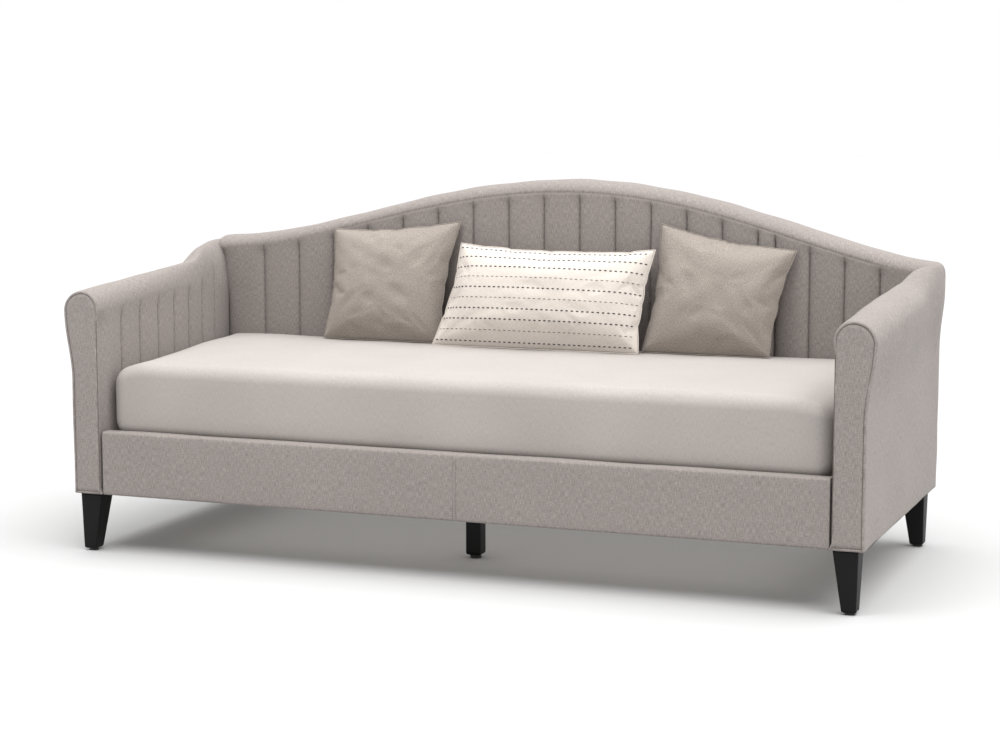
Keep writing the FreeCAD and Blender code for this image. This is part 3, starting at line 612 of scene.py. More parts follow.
@dataclass(frozen=True)
class Lacquer:
    """Sprayed satin lacquer on sawn beech: smooth, with faint grain and orange peel.

    Attributes:
        name: The material's name.
        colour: Its colour.
        sheen_colour: Painted sheen, a lighter colour laid where the grain stands up.
        roughness: Its gloss, from 0 for a mirror to 1.
    """

    name: str
    colour: str
    sheen_colour: str = "#0C0B0B"
    roughness: float = 0.28

    def build(self) -> bpy.types.Material:
        """Make the lacquer's material.

        Returns:
            The material.
        """
        material, tree, shader = new_material(self.name)
        place = add(tree, "ShaderNodeTexCoord").outputs["Object"]
        grain_scale = add(tree, "ShaderNodeMapping", Vector=place, Scale=(400.0, 400.0, 12.0))
        grain = add(tree, "ShaderNodeTexNoise", Vector=grain_scale.outputs["Vector"], Scale=1.0, Detail=3.0)
        gloss = add(tree, "ShaderNodeMapRange", Value=grain.outputs["Fac"],
                    To_Min=self.roughness - 0.05, To_Max=self.roughness + 0.08)
        tree.links.new(gloss.outputs["Result"], shader.inputs["Roughness"])
        # Painted sheen: the ramp lightens the colour where the grain noise, which also raises the bump, is
        # high.
        tint = ramp(tree, grain.outputs["Fac"], [(0.3, self.colour), (0.8, self.sheen_colour)])
        coat(tree, shader, tint, grain.outputs["Fac"], relief_mm=0.05, strength=0.4)
        set_inputs(shader, Specular_IOR_Level=0.2)
        return material


@dataclass(frozen=True)
class Timber:
    """Planed or sawn bare wood: long grain lines with darker rings, dull, slightly rough.

    Attributes:
        name: The material's name.
        pale: Colour between the rings.
        deep: Colour of the rings.
        ring_mm: Spacing of the rings.
        along: Axis that the grain runs along, 0 for X.
    """

    name: str
    pale: str
    deep: str
    ring_mm: float = 9.0
    along: int = 0

    def build(self) -> bpy.types.Material:
        """Make the wood's material.

        Returns:
            The material.
        """
        material, tree, shader = new_material(self.name)
        place = add(tree, "ShaderNodeTexCoord").outputs["Object"]
        scale = [1 / (self.ring_mm * MM)] * 3
        scale[self.along] /= 30
        stretched = add(tree, "ShaderNodeMapping", Vector=place, Scale=tuple(scale))
        rings = add(tree, "ShaderNodeTexNoise", Vector=stretched.outputs["Vector"], Scale=1.0,
                    Detail=5.0, Distortion=0.6)
        colour = ramp(tree, rings.outputs["Fac"], [(0.3, self.deep), (0.55, self.pale), (0.8, self.deep)])
        coat(tree, shader, colour, rings.outputs["Fac"], relief_mm=0.2)
        set_inputs(shader, Roughness=0.62)
        return material


@dataclass(frozen=True)
class Grained:
    """A hard or spongy surface with one even grain: plated steel, moulded plastic, foam, felt.

    Attributes:
        name: The material's name.
        colour: Colour of most of it.
        shade: Colour painted into the grain's hollows, as painted shade.
        grain_mm: Size of the grain.
        roughness: Its gloss, from 0 for a mirror to 1.
        metallic: 1 for bare metal, 0 for the rest.
        relief_mm: Height of the grain.
    """

    name: str
    colour: str
    shade: str
    grain_mm: float
    roughness: float
    metallic: float = 0.0
    relief_mm: float = 0.05

    def build(self) -> bpy.types.Material:
        """Make the grained material.

        Returns:
            The material.
        """
        material, tree, shader = new_material(self.name)
        place = add(tree, "ShaderNodeTexCoord").outputs["Object"]
        grain = add(tree, "ShaderNodeTexNoise", Vector=place, Scale=1 / (self.grain_mm * MM), Detail=3.0)
        # Painted shade: the ramp darkens the grain's hollows, read from the same noise as the bump's
        # height.
        colour = ramp(tree, grain.outputs["Fac"], [(0.3, self.shade), (0.7, self.colour)])
        coat(tree, shader, colour, grain.outputs["Fac"], self.relief_mm)
        set_inputs(shader, Roughness=self.roughness, Metallic=self.metallic)
        return material


class Slot(Enum):
    """The record's material slots, each with its finish."""

    UPHOLSTERY = WovenCloth("heathered linen upholstery", "#6C6561", "#837C78", "#9A938F",
                            yarn_mm=1.5, slub_mm=15)
    # The welt and topstitch cloth is set darker than the upholstery: painted shade for the dark seam lines,
    # laid on a cord and thread that are really there.
    WELT = WovenCloth("linen welt darkened as painted seam shade", "#524B46", "#615954", "#736B66", slub_mm=10)
    MATTRESS_CLOTH = WovenCloth("plain beige mattress cloth", "#908A86", "#99938F", "#A39D99",
                                slub_mm=12, relief_mm=0.12)
    TAUPE_WEAVE = WovenCloth("coarse taupe twill", "#665E57", "#8F867E", "#B5ABA2",
                             yarn_mm=2.6, slub_mm=6, relief_mm=0.8, twill=True)
    STRIPE_WEAVE = WovenCloth("off-white slub cotton", "#B6AEA6", "#C4BCB4", "#D3CCC5",
                              slub_mm=7, relief_mm=0.4)
    BLACK_LACQUER = Lacquer("black satin lacquer", "#050505", roughness=0.5)
    PINE = Timber("planed pine", "#C9A574", "#A97F4C")
    PLYWOOD = Timber("birch plywood", "#C8AB7E", "#B08E5E", ring_mm=5)
    HARDBOARD = Grained("smooth hardboard", "#6A4E36", "#553C28", 1.2, 0.6)
    BIRCH_SLAT = Timber("planed birch slat", "#D8BE93", "#BE9D6C", ring_mm=7, along=1)
    WEBBING = Grained("polypropylene tape", "#2A2A2A", "#141414", 1.5, 0.7, relief_mm=0.3)
    DUST_CLOTH = Grained("non-woven dust cloth", "#1B1B1C", "#0C0C0C", 0.8, 0.95, relief_mm=0.2)
    BLACK_PLASTIC = Grained("moulded black plastic", "#161616", "#0E0E0E", 0.5, 0.45)
    ZINC_STEEL = Grained("zinc plated steel", "#C9CCCE", "#A6AAAD", 2.0, 0.34, metallic=1.0)
    PAINTED_STEEL = Grained("black powder coat", "#1C1C1E", "#121213", 0.6, 0.5)
    FOAM = Grained("cut polyurethane foam", "#E9E2BE", "#D2C99F", 1.5, 0.95, relief_mm=0.4)
    MATTRESS_FOAM = Grained("cold foam", "#EFEBDD", "#DCD6C2", 1.2, 0.95, relief_mm=0.3)
    PILLOW_FILL = Grained("polyester fill", "#F2F1ED", "#E2E0DA", 3.0, 0.97, relief_mm=0.5)

    @property
    def key(self) -> str:
        """The slot's name in the record."""
        return self.name.lower()


@dataclass
class Wardrobe:
    """Makes each finish once and dresses pieces with it.

    Attributes:
        made: The materials made so far.
    """

    made: dict[Slot, bpy.types.Material] = field(default_factory=dict)

    def material(self, slot: Slot) -> bpy.types.Material:
        """The slot's material, built on first use.

        Args:
            slot: The slot.

        Returns:
            Its material.
        """
        if slot not in self.made:
            self.made[slot] = slot.value.build()
        return self.made[slot]

    def dress(self, item: bpy.types.Object, slot: Slot, body: str = "frame",
              stands_for: tuple[str, ...] = ()) -> bpy.types.Object:
        """Give a finished piece its slot's material and its body.

        Args:
            item: The piece.
            slot: Its finish.
            body: The body it rides on.
            stands_for: The CAD nodes it is shown in place of.

        Returns:
            The same piece.
        """
        item.data.materials.clear()
        item.data.materials.append(self.material(slot))
        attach(item, body)
        if stands_for:
            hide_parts(*stands_for)
        log.info("%s: %d faces", item.name, len(item.data.polygons))
        return item


# ---- channels ------------------------------------------------------------------------------

@dataclass(frozen=True)
class Channels:
    """Upright padded channels between sewn seams.

    Attributes:
        seams: Place of each seam along the panel, in order.
        depth: How far a seam lies below the padding.
        roundness: Power of the padding's profile; a larger one is flatter with steeper seams.
        crease: How much deeper the thread pulls the seam itself.
        crease_reach: Distance over which that pull dies away.
        steps: Grid steps across a channel.
    """

    seams: Array
    depth: float = 6.5 * MM
    roundness: float = 3.6
    crease: float = 6.0 * MM
    crease_reach: float = 2.2 * MM
    steps: int = 18

    def stations(self, low: float, high: float) -> Array:
        """Grid places from low to high with a line on each seam, closer together beside it.

        Each channel is stepped by (1 - cos pi t) / 2.

        Args:
            low: The first place.
            high: The last place.

        Returns:
            The places, in order.
        """
        share = (1 - np.cos(np.pi * np.arange(self.steps) / self.steps)) / 2
        bounds = np.concatenate([[low], self.seams, [high]])
        inside = bounds[:-1, None] + np.diff(bounds)[:, None] * share
        return np.append(inside.ravel(), high)

    def sink(self, place: Array) -> Array:
        """Depth below the padding at a place.

        It is depth |2t - 1|^roundness across each channel, and crease exp(-d / reach) at a
        distance d from a seam.

        Args:
            place: Where to read it along the panel.

        Returns:
            The depth.
        """
        widths = np.diff(self.seams)
        edges = np.concatenate([[self.seams[0] - widths[0]], self.seams, [self.seams[-1] + widths[-1]]])
        index = np.clip(np.searchsorted(edges, place, side="right") - 1, 0, len(edges) - 2)
        share = np.clip((place - edges[index]) / (edges[index + 1] - edges[index]), 0.0, 1.0)
        near = np.min(np.abs(place[..., None] - self.seams), axis=-1)
        return (self.depth * np.abs(2 * share - 1) ** self.roundness
                + self.crease * np.exp(-near / self.crease_reach))

    def pucker(self, place: Array, up: Array) -> Array:
        """Small gathers where the thread pulls: a sine of up that fades on both sides of a seam.

        Args:
            place: Where to read it along the panel.
            up: How far up the seam.

        Returns:
            Depth below the padding, above or below 0.
        """
        height, reach, pitch, shift = 0.6 * MM, 9 * MM, 17 * MM, 40
        near = np.min(np.abs(place[..., None] - self.seams), axis=-1)
        return height * np.exp(-(near / reach) ** 2) * np.sin(2 * np.pi * up / pitch + shift * place)


# ---- arms ----------------------------------------------------------------------------------

@dataclass
class Arm:
    """One arm: its cloth skin with inner channels and rolled top, its facing and its welt.

    The arm's section changes along its run. The inner wall splays outwards towards the back
    while the rounded top grows wider on that side, so the arm opens like a scroll.

    Attributes:
        side: 1 for the right-hand arm, -1 for the left.
        outer: Outer face's distance from the middle.
        front: Front plane.
        rear: Rear plane, where the skin closes the back's end.
        base: Height of the underside.
        front_top: Height of the arm at its front.
        climb: Rise of the top for each metre of run.
        swell: Extra rise of the top just before the back.
        fall: How far the top drops behind that rise.
        inner: Inner wall's distance from the middle at the front.
        splay: How much further out that wall stands at the back.
        roll: Height of the inner rounding at the front.
        roll_growth: How much taller that rounding is at the back.
        brow: Height from the outermost point of the head to its top.
        neck: Height over which the outer side flares out to the head.
        facing_inset: How far the facing's seam lies inside the front section.
        apex: Distance of the head's highest line from the middle.
        apex_settle: How far that line moves in behind the facing.
        apex_lean: How far it then moves out towards the back.
        apex_return: How far it comes in again over the back's thickness.
        widest: Distance of the head's outermost line from the middle.
        widest_swell: How far that line moves out before the back.
        widest_return: How far it comes in again over the back's thickness.
        opens_from: Where the inner wall starts to splay.
        opens_over: Run over which it splays.
    """

    side: int
    outer: float
    front: float
    rear: float
    base: float
    front_top: float = 0.7186
    climb: float = 0.06
    swell: float = 0.027
    fall: float = 0.022
    inner: float = 1.007
    splay: float = 0.052
    roll: float = 0.056
    roll_growth: float = 0.118
    brow: float = 0.055
    neck: float = 0.19
    facing_inset: float = 0.0078
    apex: float = 1.056
    apex_settle: float = 0.010
    apex_lean: float = 0.064
    apex_return: float = 0.024
    widest: float = 1.1148
    widest_swell: float = 0.003
    widest_return: float = 0.012
    opens_from: float = -0.15
    opens_over: float = 0.518

    @classmethod
    def from_frame(cls, side: int) -> "Arm":
        """An arm whose limits come from the CAD nodes.

        Args:
            side: 1 for the right-hand arm, -1 for the left, whose top hardly falls.

        Returns:
            The arm.
        """
        _, dust_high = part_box("right_arm_dust_cover")
        cover_low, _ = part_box("right_arm_cover")
        facing_low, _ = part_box("right_arm_facing")
        _, back_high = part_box("back_outer_cover")
        fall = cls.fall if side > 0 else -0.003
        return cls(side, dust_high.x + 1.8 * MM, facing_low.y, back_high.y - 2.5 * MM, cover_low.z,
                   fall=fall)

    @property
    def word(self) -> str:
        """The side in words, as the CAD nodes have it."""
        return "right" if self.side > 0 else "left"

    def top(self, y: Array) -> Array:
        """Height of the top: a steady climb, a smooth swell and a small fall behind it."""
        return (self.front_top + self.climb * (y - self.front)
                + self.swell * smoothstep(y, 0.12, 0.24) - self.fall * smoothstep(y, 0.28, 0.40))

    def opening(self, y: Array) -> Array:
        """Share of the splay reached at y, from 0 at its start to 1 at the back's face."""
        return np.clip((y - self.opens_from) / self.opens_over, 0.0, 1.0)

    def wall(self, y: Array) -> Array:
        """Inner wall's distance from the middle: inner + splay opening^1.4."""
        return self.inner + self.splay * self.opening(y) ** 1.4

    def sections(self, y: Array) -> Array:
        """Closed sections of the arm as (y, points, 2) loops of (across, up), from the inner foot.

        Each runs along the underside, up the flared outer side, over the head by two quarter
        ellipses that meet at the apex, and down the inner wall. The apex leans outwards near
        the back.

        Args:
            y: Places along the arm.

        Returns:
            The loops, anticlockwise.
        """
        y = np.asarray(y, float)[:, None]
        top, wall = self.top(y), self.wall(y)
        apex = (self.apex - self.apex_settle * smoothstep(y, -0.47, -0.1)
                + self.apex_lean * smoothstep(y, 0.10, 0.36)
                - self.apex_return * smoothstep(y, 0.37, 0.46))
        widest = (self.widest + self.widest_swell * smoothstep(y, 0.2, 0.34)
                  - self.widest_return * smoothstep(y, 0.36, 0.46))
        roll = self.roll + self.roll_growth * self.opening(y) ** 2
        brow = top - self.brow
        corner = 4 * MM
        turn = np.radians(np.linspace(0, 90, 5))[None]
        rise = np.linspace(0, 1, 56)[None, 1:-1]
        outer_z = self.base + corner + (brow - self.base - corner) * rise
        outer_x = self.outer + (widest - self.outer) * smoothstep(outer_z - brow, -self.neck, 0.0)
        over = np.radians(np.linspace(0, 90, 24))[None]
        inner_z = top - roll - (top - roll - self.base - corner) * rise
        wide = np.ones_like(top)
        across = [wall + corner + (self.outer - wall - 2 * corner) * np.linspace(0, 1, 10)[None, :-1],
                  self.outer - corner + corner * np.sin(turn) * wide,
                  outer_x,
                  apex + (widest - apex) * np.cos(over),
                  apex - (apex - wall) * np.sin(over[:, 1:]),
                  wall + 0 * inner_z,
                  wall + corner - corner * np.cos(turn[:, :-1])]
        up = [self.base * wide * np.ones((1, 9)),
              self.base + corner - corner * np.cos(turn) * wide,
              outer_z,
              brow + self.brow * np.sin(over),
              top - roll + roll * np.cos(over[:, 1:]),
              inner_z,
              self.base + corner - corner * np.sin(turn[:, :-1]) * wide]
        return np.stack([np.concatenate(across, axis=1), np.concatenate(up, axis=1)], axis=-1)

    def channels(self) -> Channels:
        """The inner side's seams: seven, evenly spaced, and one in the corner by the back."""
        return Channels(np.append(np.linspace(-0.349, 0.260, 7), 0.385))

    def skin(self) -> bpy.types.Object:
        """The arm's cloth skin: the sections carried back, sunk at each seam of the inner side.

        Soft slanting folds hang below the roll on the outer side, strongest near the front.

        Returns:
            The skin's object.
        """
        lip_y = self.front + np.array([10.0, 4.0, 1.4, 0.4, 0.9, 2.6, 5.5]) * MM
        lip_in = np.array([14.0, 8.4, 7.0, 5.4, 3.2, 1.2, 0.25]) * MM
        tail_y = self.rear - np.array([7.0, 3.5, 1.2, 0.2, 0.0]) * MM
        tail_in = np.array([0.3, 1.4, 3.6, 6.5, 12.0]) * MM
        channels = self.channels()
        body_y = channels.stations(self.front + 9 * MM, self.rear - 11 * MM)
        y = np.concatenate([lip_y, body_y, tail_y])
        inset = np.concatenate([lip_in, np.zeros(len(body_y)), tail_in])[:, None]
        loops = self.sections(y)
        normal = outward(loops)
        y = y[:, None]
        across, up = loops[..., 0], loops[..., 1]
        below = self.top(y) - up
        inward = smoothstep(-normal[..., 0], 0.2, 0.8)
        sewn = inward * smoothstep(below, 0.048, 0.10) * smoothstep(up, self.base, self.base + 0.02)
        sink = sewn * (channels.sink(y) + channels.pucker(y, up))
        run = y - self.front
        slack = (smoothstep(normal[..., 0], 0.4, 0.9) * smoothstep(up, 0.44, 0.60)
                 * smoothstep(run, 0.01, 0.08) * (1 - smoothstep(run, 0.15, 0.60)))
        fold_height, fold_pitch, uneven_height = 1.6 * MM, 52 * MM, 0.9 * MM
        slant = run * 1.35 - (up - 0.6) * 0.55
        folds = fold_height * slack * np.sin(2 * np.pi * slant / fold_pitch)
        uneven = uneven_height * ripple(y, up + across, 0.16, 5 + self.side)
        moved = loops + normal * (folds + uneven - sink - inset)[..., None]
        points = np.stack([self.side * moved[..., 0], np.broadcast_to(y, up.shape), moved[..., 1]], -1)
        middle = loops[len(loops) // 2]
        around = run_length(np.concatenate([middle, middle[:1]]))
        uv = np.stack(np.broadcast_arrays(y, around[None]), axis=-1)
        return grid_object(f"{self.word}_arm_skin", points, uv)

    def rim(self, inset: float, count: int) -> Array:
        """The front section's outline drawn in by inset, as evenly spaced (across, up) points.

        Args:
            inset: How far to draw it in; the lower corners stay square.
            count: Number of points.

        Returns:
            The points, anticlockwise, without a repeat of the first.
        """
        loop = self.sections(np.array([self.front]))[0]
        drawn = loop - outward(loop) * inset
        sides = (loop[:, 0].min() + inset, np.where(drawn[:, 1] < 0.3, self.outer - inset, np.inf))
        drawn[:, 0] = np.clip(drawn[:, 0], *sides)
        drawn[:, 1] = np.maximum(drawn[:, 1], self.base + inset)
        return even(np.concatenate([drawn, drawn[:1]]), count + 1)[:-1]

    def facing(self) -> bpy.types.Object:
        """The padded keyhole panel: flat, with a soft edge that falls back into its seam.

        A point moves from the rim a third of the way to an upright spine, and stands forward by
        soft (1 - (1 - d / reach)^2) at a distance d from the rim. The middle is flat.

        Returns:
            The panel's object.
        """
        rim = self.rim(self.facing_inset, 260)
        spine_x = (self.inner + self.outer) / 2 + 0.004 * smoothstep(rim[:, 1], 0.45, 0.62)
        spine = np.stack([spine_x, np.clip(rim[:, 1], self.base + 0.05, self.front_top - 0.06)], -1)
        share = np.concatenate([[0.4, 0.0, 0.0], 0.32 * np.linspace(0.03, 1, 14) ** 1.6])[:, None]
        distance = share * np.linalg.norm(spine - rim, axis=1)
        reach, soft = 11 * MM, 3.4 * MM
        forward = soft * (1 - (1 - np.clip(distance / reach, 0, 1)) ** 2)
        tuck = np.broadcast_to(np.array([9.0, 9.0, 6.0])[:, None] * MM, (3, len(rim)))
        seam = 2.6 * MM
        depth = np.concatenate([tuck, seam - forward[3:]])
        flat = rim[None] * (1 - share[..., None]) + spine[None] * share[..., None]
        points = np.stack([self.side * flat[..., 0], self.front + depth, flat[..., 1]], axis=-1)
        uv = np.concatenate([flat, flat[:, :1]], axis=1)
        return grid_object(f"{self.word}_arm_facing_panel", points, uv)

    def welt(self) -> bpy.types.Object:
        """The thin cord sewn into the seam round the facing, as a closed tube.

        Returns:
            The cord's object.
        """
        rim = self.rim(self.facing_inset - 0.6 * MM, 300)
        depth = np.full(len(rim), self.front + 2.4 * MM)
        path = np.stack([self.side * rim[:, 0], depth, rim[:, 1]], axis=-1)
        return tube(f"{self.word}_facing_seam_welt", path, 1.2 * MM, closed=True)

    def build(self, wardrobe: Wardrobe) -> None:
        """Make and dress the arm's three pieces.

        Args:
            wardrobe: Where their finishes come from.
        """
        word = self.word
        skin = wardrobe.dress(self.skin(), Slot.UPHOLSTERY,
                              stands_for=(f"{word}_arm_cover", f"{word}_arm_pad", f"{word}_arm_roll"))
        facing = wardrobe.dress(self.facing(), Slot.UPHOLSTERY, stands_for=(f"{word}_arm_facing",))
        # The welt's darker finish is painted shade for the seam line round the facing.
        wardrobe.dress(self.welt(), Slot.WELT, stands_for=(f"{word}_facing_welt",))


# ---- back ----------------------------------------------------------------------------------

@dataclass
class Back:
    """The camel back: a skin sewn in channels that rolls over the crest, and a plain rear panel.

    Attributes:
        front: Plane of the inner face.
        rear: Plane of the rear face.
        base: Height of the underside.
        half: Half the width, up to the arms' outer sides.
        outer: Half the width of the rear panel at its foot.
        border: Height of the band over the crest, above the channels.
        nose: Depth of the crest's front rounding.
        heel: Radius of its rear rounding.
        corner: Radius of the crest's two ends.
        flare: How far the ends spread near the top.
        span: Half wavelength of the crest's waves.
        level: Middle height of the crest's hump.
        hump: Its half height.
        flat: How much its top is flattened.
        lean: How much it leans to the right.
        slope: Fall of the crest for each metre to the right.
    """

    front: float
    rear: float
    base: float
    outer: float
    half: float = 1.0885
    border: float = 0.034
    nose: float = 0.052
    heel: float = 0.020
    corner: float = 0.020
    flare: float = 0.0155
    span: float = 1.2
    level: float = 0.8996
    hump: float = 0.1018
    flat: float = 0.0039
    lean: float = 0.0165
    slope: float = 0.0154

    @classmethod
    def from_frame(cls) -> "Back":
        """A back whose limits come from the CAD nodes.

        Returns:
            The back.
        """
        low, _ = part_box("back_inner_cover")
        _, rear_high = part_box("back_outer_cover")
        _, dust_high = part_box("back_dust_cover")
        return cls(low.y, rear_high.y, low.z, dust_high.x + 1.8 * MM)

    def crest(self, x: Array) -> Array:
        """Height of the top edge, a hump that leans a little to the right.

        It is level + hump cos(w) - flat cos(2w) + lean sin(w) - slope x, with w = pi x / span.

        Args:
            x: Places across the back.

        Returns:
            The heights.
        """
        wave = np.pi * np.asarray(x, float) / self.span
        return (self.level + self.hump * np.cos(wave) - self.flat * np.cos(2 * wave)
                + self.lean * np.sin(wave) - self.slope * x)

    def channels(self) -> Channels:
        """The back's seams: fifteen channels narrowing by 1 mm each, a narrow one and four more.

        Returns:
            The channels, a little deeper than the arms'.
        """
        first_seam, left_corner, narrow, right_corner = -1.0645, 0.1255, 0.049, 0.123
        narrowing = 0.1165 - 0.00102 * np.arange(14)
        widths = np.concatenate([[left_corner], narrowing, [narrow], np.full(3, 0.0985),
                                 [right_corner]])
        return Channels(first_seam + np.concatenate([[0.0], np.cumsum(widths)]), depth=7.5 * MM,
                        crease=7.0 * MM, crease_reach=2.6 * MM)

    def skin(self) -> bpy.types.Object:
        """The channelled front, the roll over the crest and the rear, as one skin.

        At each x a closed loop runs up the front, over the crest by a quarter ellipse and a
        quarter circle, and down the rear. Seams sink the front, and fade just under the border,
        whose own seam is a shallow groove. Both ends shrink by quarter circles.

        Returns:
            The skin's object.
        """
        channels = self.channels()
        body_x = channels.stations(self.corner - self.half, self.half - self.corner)
        turn = np.radians(np.linspace(90, 0, 8))[:-1]
        end_x = self.half - self.corner * (1 - np.sin(turn))
        x = np.concatenate([-end_x, body_x, end_x[::-1]])[:, None]
        shrink = self.corner * (1 - np.cos(turn))
        inset = np.concatenate([shrink, np.zeros(len(body_x)), shrink[::-1]])[:, None]
        top = self.crest(x) - inset
        fold = top - self.border
        rise = 1 - (1 - np.linspace(0, 1, 120)[None]) ** 1.25
        front_z = self.base + (fold - self.base) * rise
        over = np.radians(np.linspace(0, 90, 22))[None, 1:]
        flat_y = np.linspace(self.front + self.nose, self.rear - self.heel, 5)[None, 1:-1]
        round_back = np.radians(np.linspace(90, 0, 8))[None]
        rear_z = self.base + (top - self.heel - self.base) * np.linspace(1, 0, 30)[None, 1:]
        wide = np.ones_like(x)
        rear = self.rear - 3 * MM
        y = np.concatenate([self.front + 0 * front_z,
                            self.front + self.nose * (1 - np.cos(over)) * wide,
                            flat_y * wide,
                            rear - self.heel + self.heel * np.cos(round_back) * wide,
                            rear + 0 * rear_z], axis=1)
        z = np.concatenate([front_z, fold + self.border * np.sin(over), top + 0 * flat_y,
                            top - self.heel + self.heel * np.sin(round_back), rear_z], axis=1)
        facing = np.concatenate([np.ones(front_z.shape[1]), np.cos(over[0]),
                                 np.zeros(y.shape[1] - front_z.shape[1] - over.shape[1])])[None]
        below = fold - z
        sewn = facing * smoothstep(below, -0.002, 0.030)
        bordered = smoothstep(x, -0.85, -0.45) * (1 - smoothstep(x, 0.90, 1.0))
        groove_depth, groove_reach = 1.6 * MM, 2.8 * MM
        groove = groove_depth * bordered * np.exp(-(below / groove_reach) ** 2)
        uneven = 0.0008 * ripple(x, z, 0.14, 3)
        sink = sewn * (channels.sink(x) + channels.pucker(x, z)) + facing * (groove + uneven)
        lift = 0.0012 * ripple(x, y, 0.17, 8) * (1 - facing) * (z > self.base + 0.3)
        spread = self.flare * smoothstep(z, 0.60, 0.72) * smoothstep(np.abs(x), 1.0, self.half)
        points = np.stack([x + np.sign(x) * spread, y + sink, z + lift], axis=-1)
        middle = points[len(points) // 2][:, 1:]
        around = run_length(np.concatenate([middle, middle[:1]]))[None]
        uv = np.stack(np.broadcast_arrays(x, around), axis=-1)
        return grid_object("back_channelled_skin", points, uv)

    def rear_panel(self) -> bpy.types.Object:
        """The plain rear cloth, drawn in a little from the outline and gently domed.

        A point moves from the rim to the middle by t and back by a dome of 1 - (1 - t)^2.

        Returns:
            The panel's object.
        """
        shoulder_z, top_half, side_flare = 0.735, 1.075, 12 * MM
        rounding, drawn_in = 7 * MM, 9 * MM
        side_z = np.linspace(self.base, shoulder_z, 60)
        side_x = self.outer + side_flare * smoothstep(side_z, 0.54, shoulder_z)
        top_x = np.linspace(top_half, -top_half, 240)
        right = np.stack([side_x, side_z], axis=-1)
        top = np.stack([top_x, self.crest(top_x)], axis=-1)
        edge = soften(even(np.concatenate([right, top, right[::-1] * [-1, 1]]), 360), rounding)
        ahead = np.gradient(edge, axis=0)
        normal = np.stack([ahead[:, 1], -ahead[:, 0]], -1) / np.linalg.norm(ahead, axis=1)[:, None]
        rim = edge - normal * drawn_in
        foot_x = np.linspace(rim[-1, 0], rim[0, 0], 80)[1:-1]
        foot = np.stack([foot_x, np.full(len(foot_x), self.base + 1 * MM)], axis=-1)
        rim = np.concatenate([rim, foot])
        middle = np.array([0.0, 0.5])
        ease = 1 - np.cos(np.pi / 2 * np.linspace(0.1, 0.98, 26))
        share = np.concatenate([[0.01, 0.0, 0.0, 0.002], ease])[:, None]
        dome = 1 - (1 - ease) ** 2
        depth = np.concatenate([[7.0, 7.0, 3.0, 0.6], -1.2 * dome])[:, None] * MM
        flat = rim[None] * (1 - share[..., None]) + middle * share[..., None]
        uneven = 0.0007 * ripple(flat[..., 0], flat[..., 1], 0.3, 9) * (share > 0.01)
        points = np.stack([flat[..., 0], self.rear - depth + uneven, flat[..., 1]], axis=-1)
        uv = np.concatenate([flat, flat[:, :1]], axis=1)
        return grid_object("back_rear_panel", points, uv)

    def build(self, wardrobe: Wardrobe) -> None:
        """Make and dress the back's two pieces.

        Args:
            wardrobe: Where their finishes come from.
        """
        skin = wardrobe.dress(self.skin(), Slot.UPHOLSTERY,
                              stands_for=("back_inner_cover", "back_foam", "back_border"))
        panel = wardrobe.dress(self.rear_panel(), Slot.UPHOLSTERY, stands_for=("back_outer_cover",))


# ---- blocks: rail, mattress, legs ----------------------------------------------------------

def rounded_loop(low: Array, high: Array, radius: Array, per_corner: int,
                 per_side: int) -> Array:
    """Rounded rectangles as loops of (a, b) points, one per row.

    Args:
        low: Lowest a and b of each row, (rows, 2).
        high: Highest a and b of each row, (rows, 2).
        radius: Corner radius of each row, (rows,).
        per_corner: Points on each quarter circle.
        per_side: Points between corners.

    Returns:
        Loops of (rows, points, 2), anticlockwise from the middle of the low-b side's end.
    """
    corners = [(high, low, -90), (high, high, 0), (low, high, 90), (low, low, 180)]
    radius = radius[:, None]
    pieces = []
    for a_side, b_side, start in corners:
        angle = np.radians(np.linspace(start, start + 90, per_corner))[None]
        a_centre = a_side[:, :1] + (radius if a_side is low else -radius)
        b_centre = b_side[:, 1:] + (radius if b_side is low else -radius)
        quarter = np.stack([a_centre + radius * np.cos(angle), b_centre + radius * np.sin(angle)], -1)
        pieces.append(quarter)
    loops = []
    share = np.linspace(0, 1, per_side + 2)[1:-1][None, :, None]
    for number, quarter in enumerate(pieces):
        following = pieces[(number + 1) % 4]
        loops.append(quarter)
        loops.append(quarter[:, -1:] * (1 - share) + following[:, :1] * share)
    return np.concatenate(loops, axis=1)


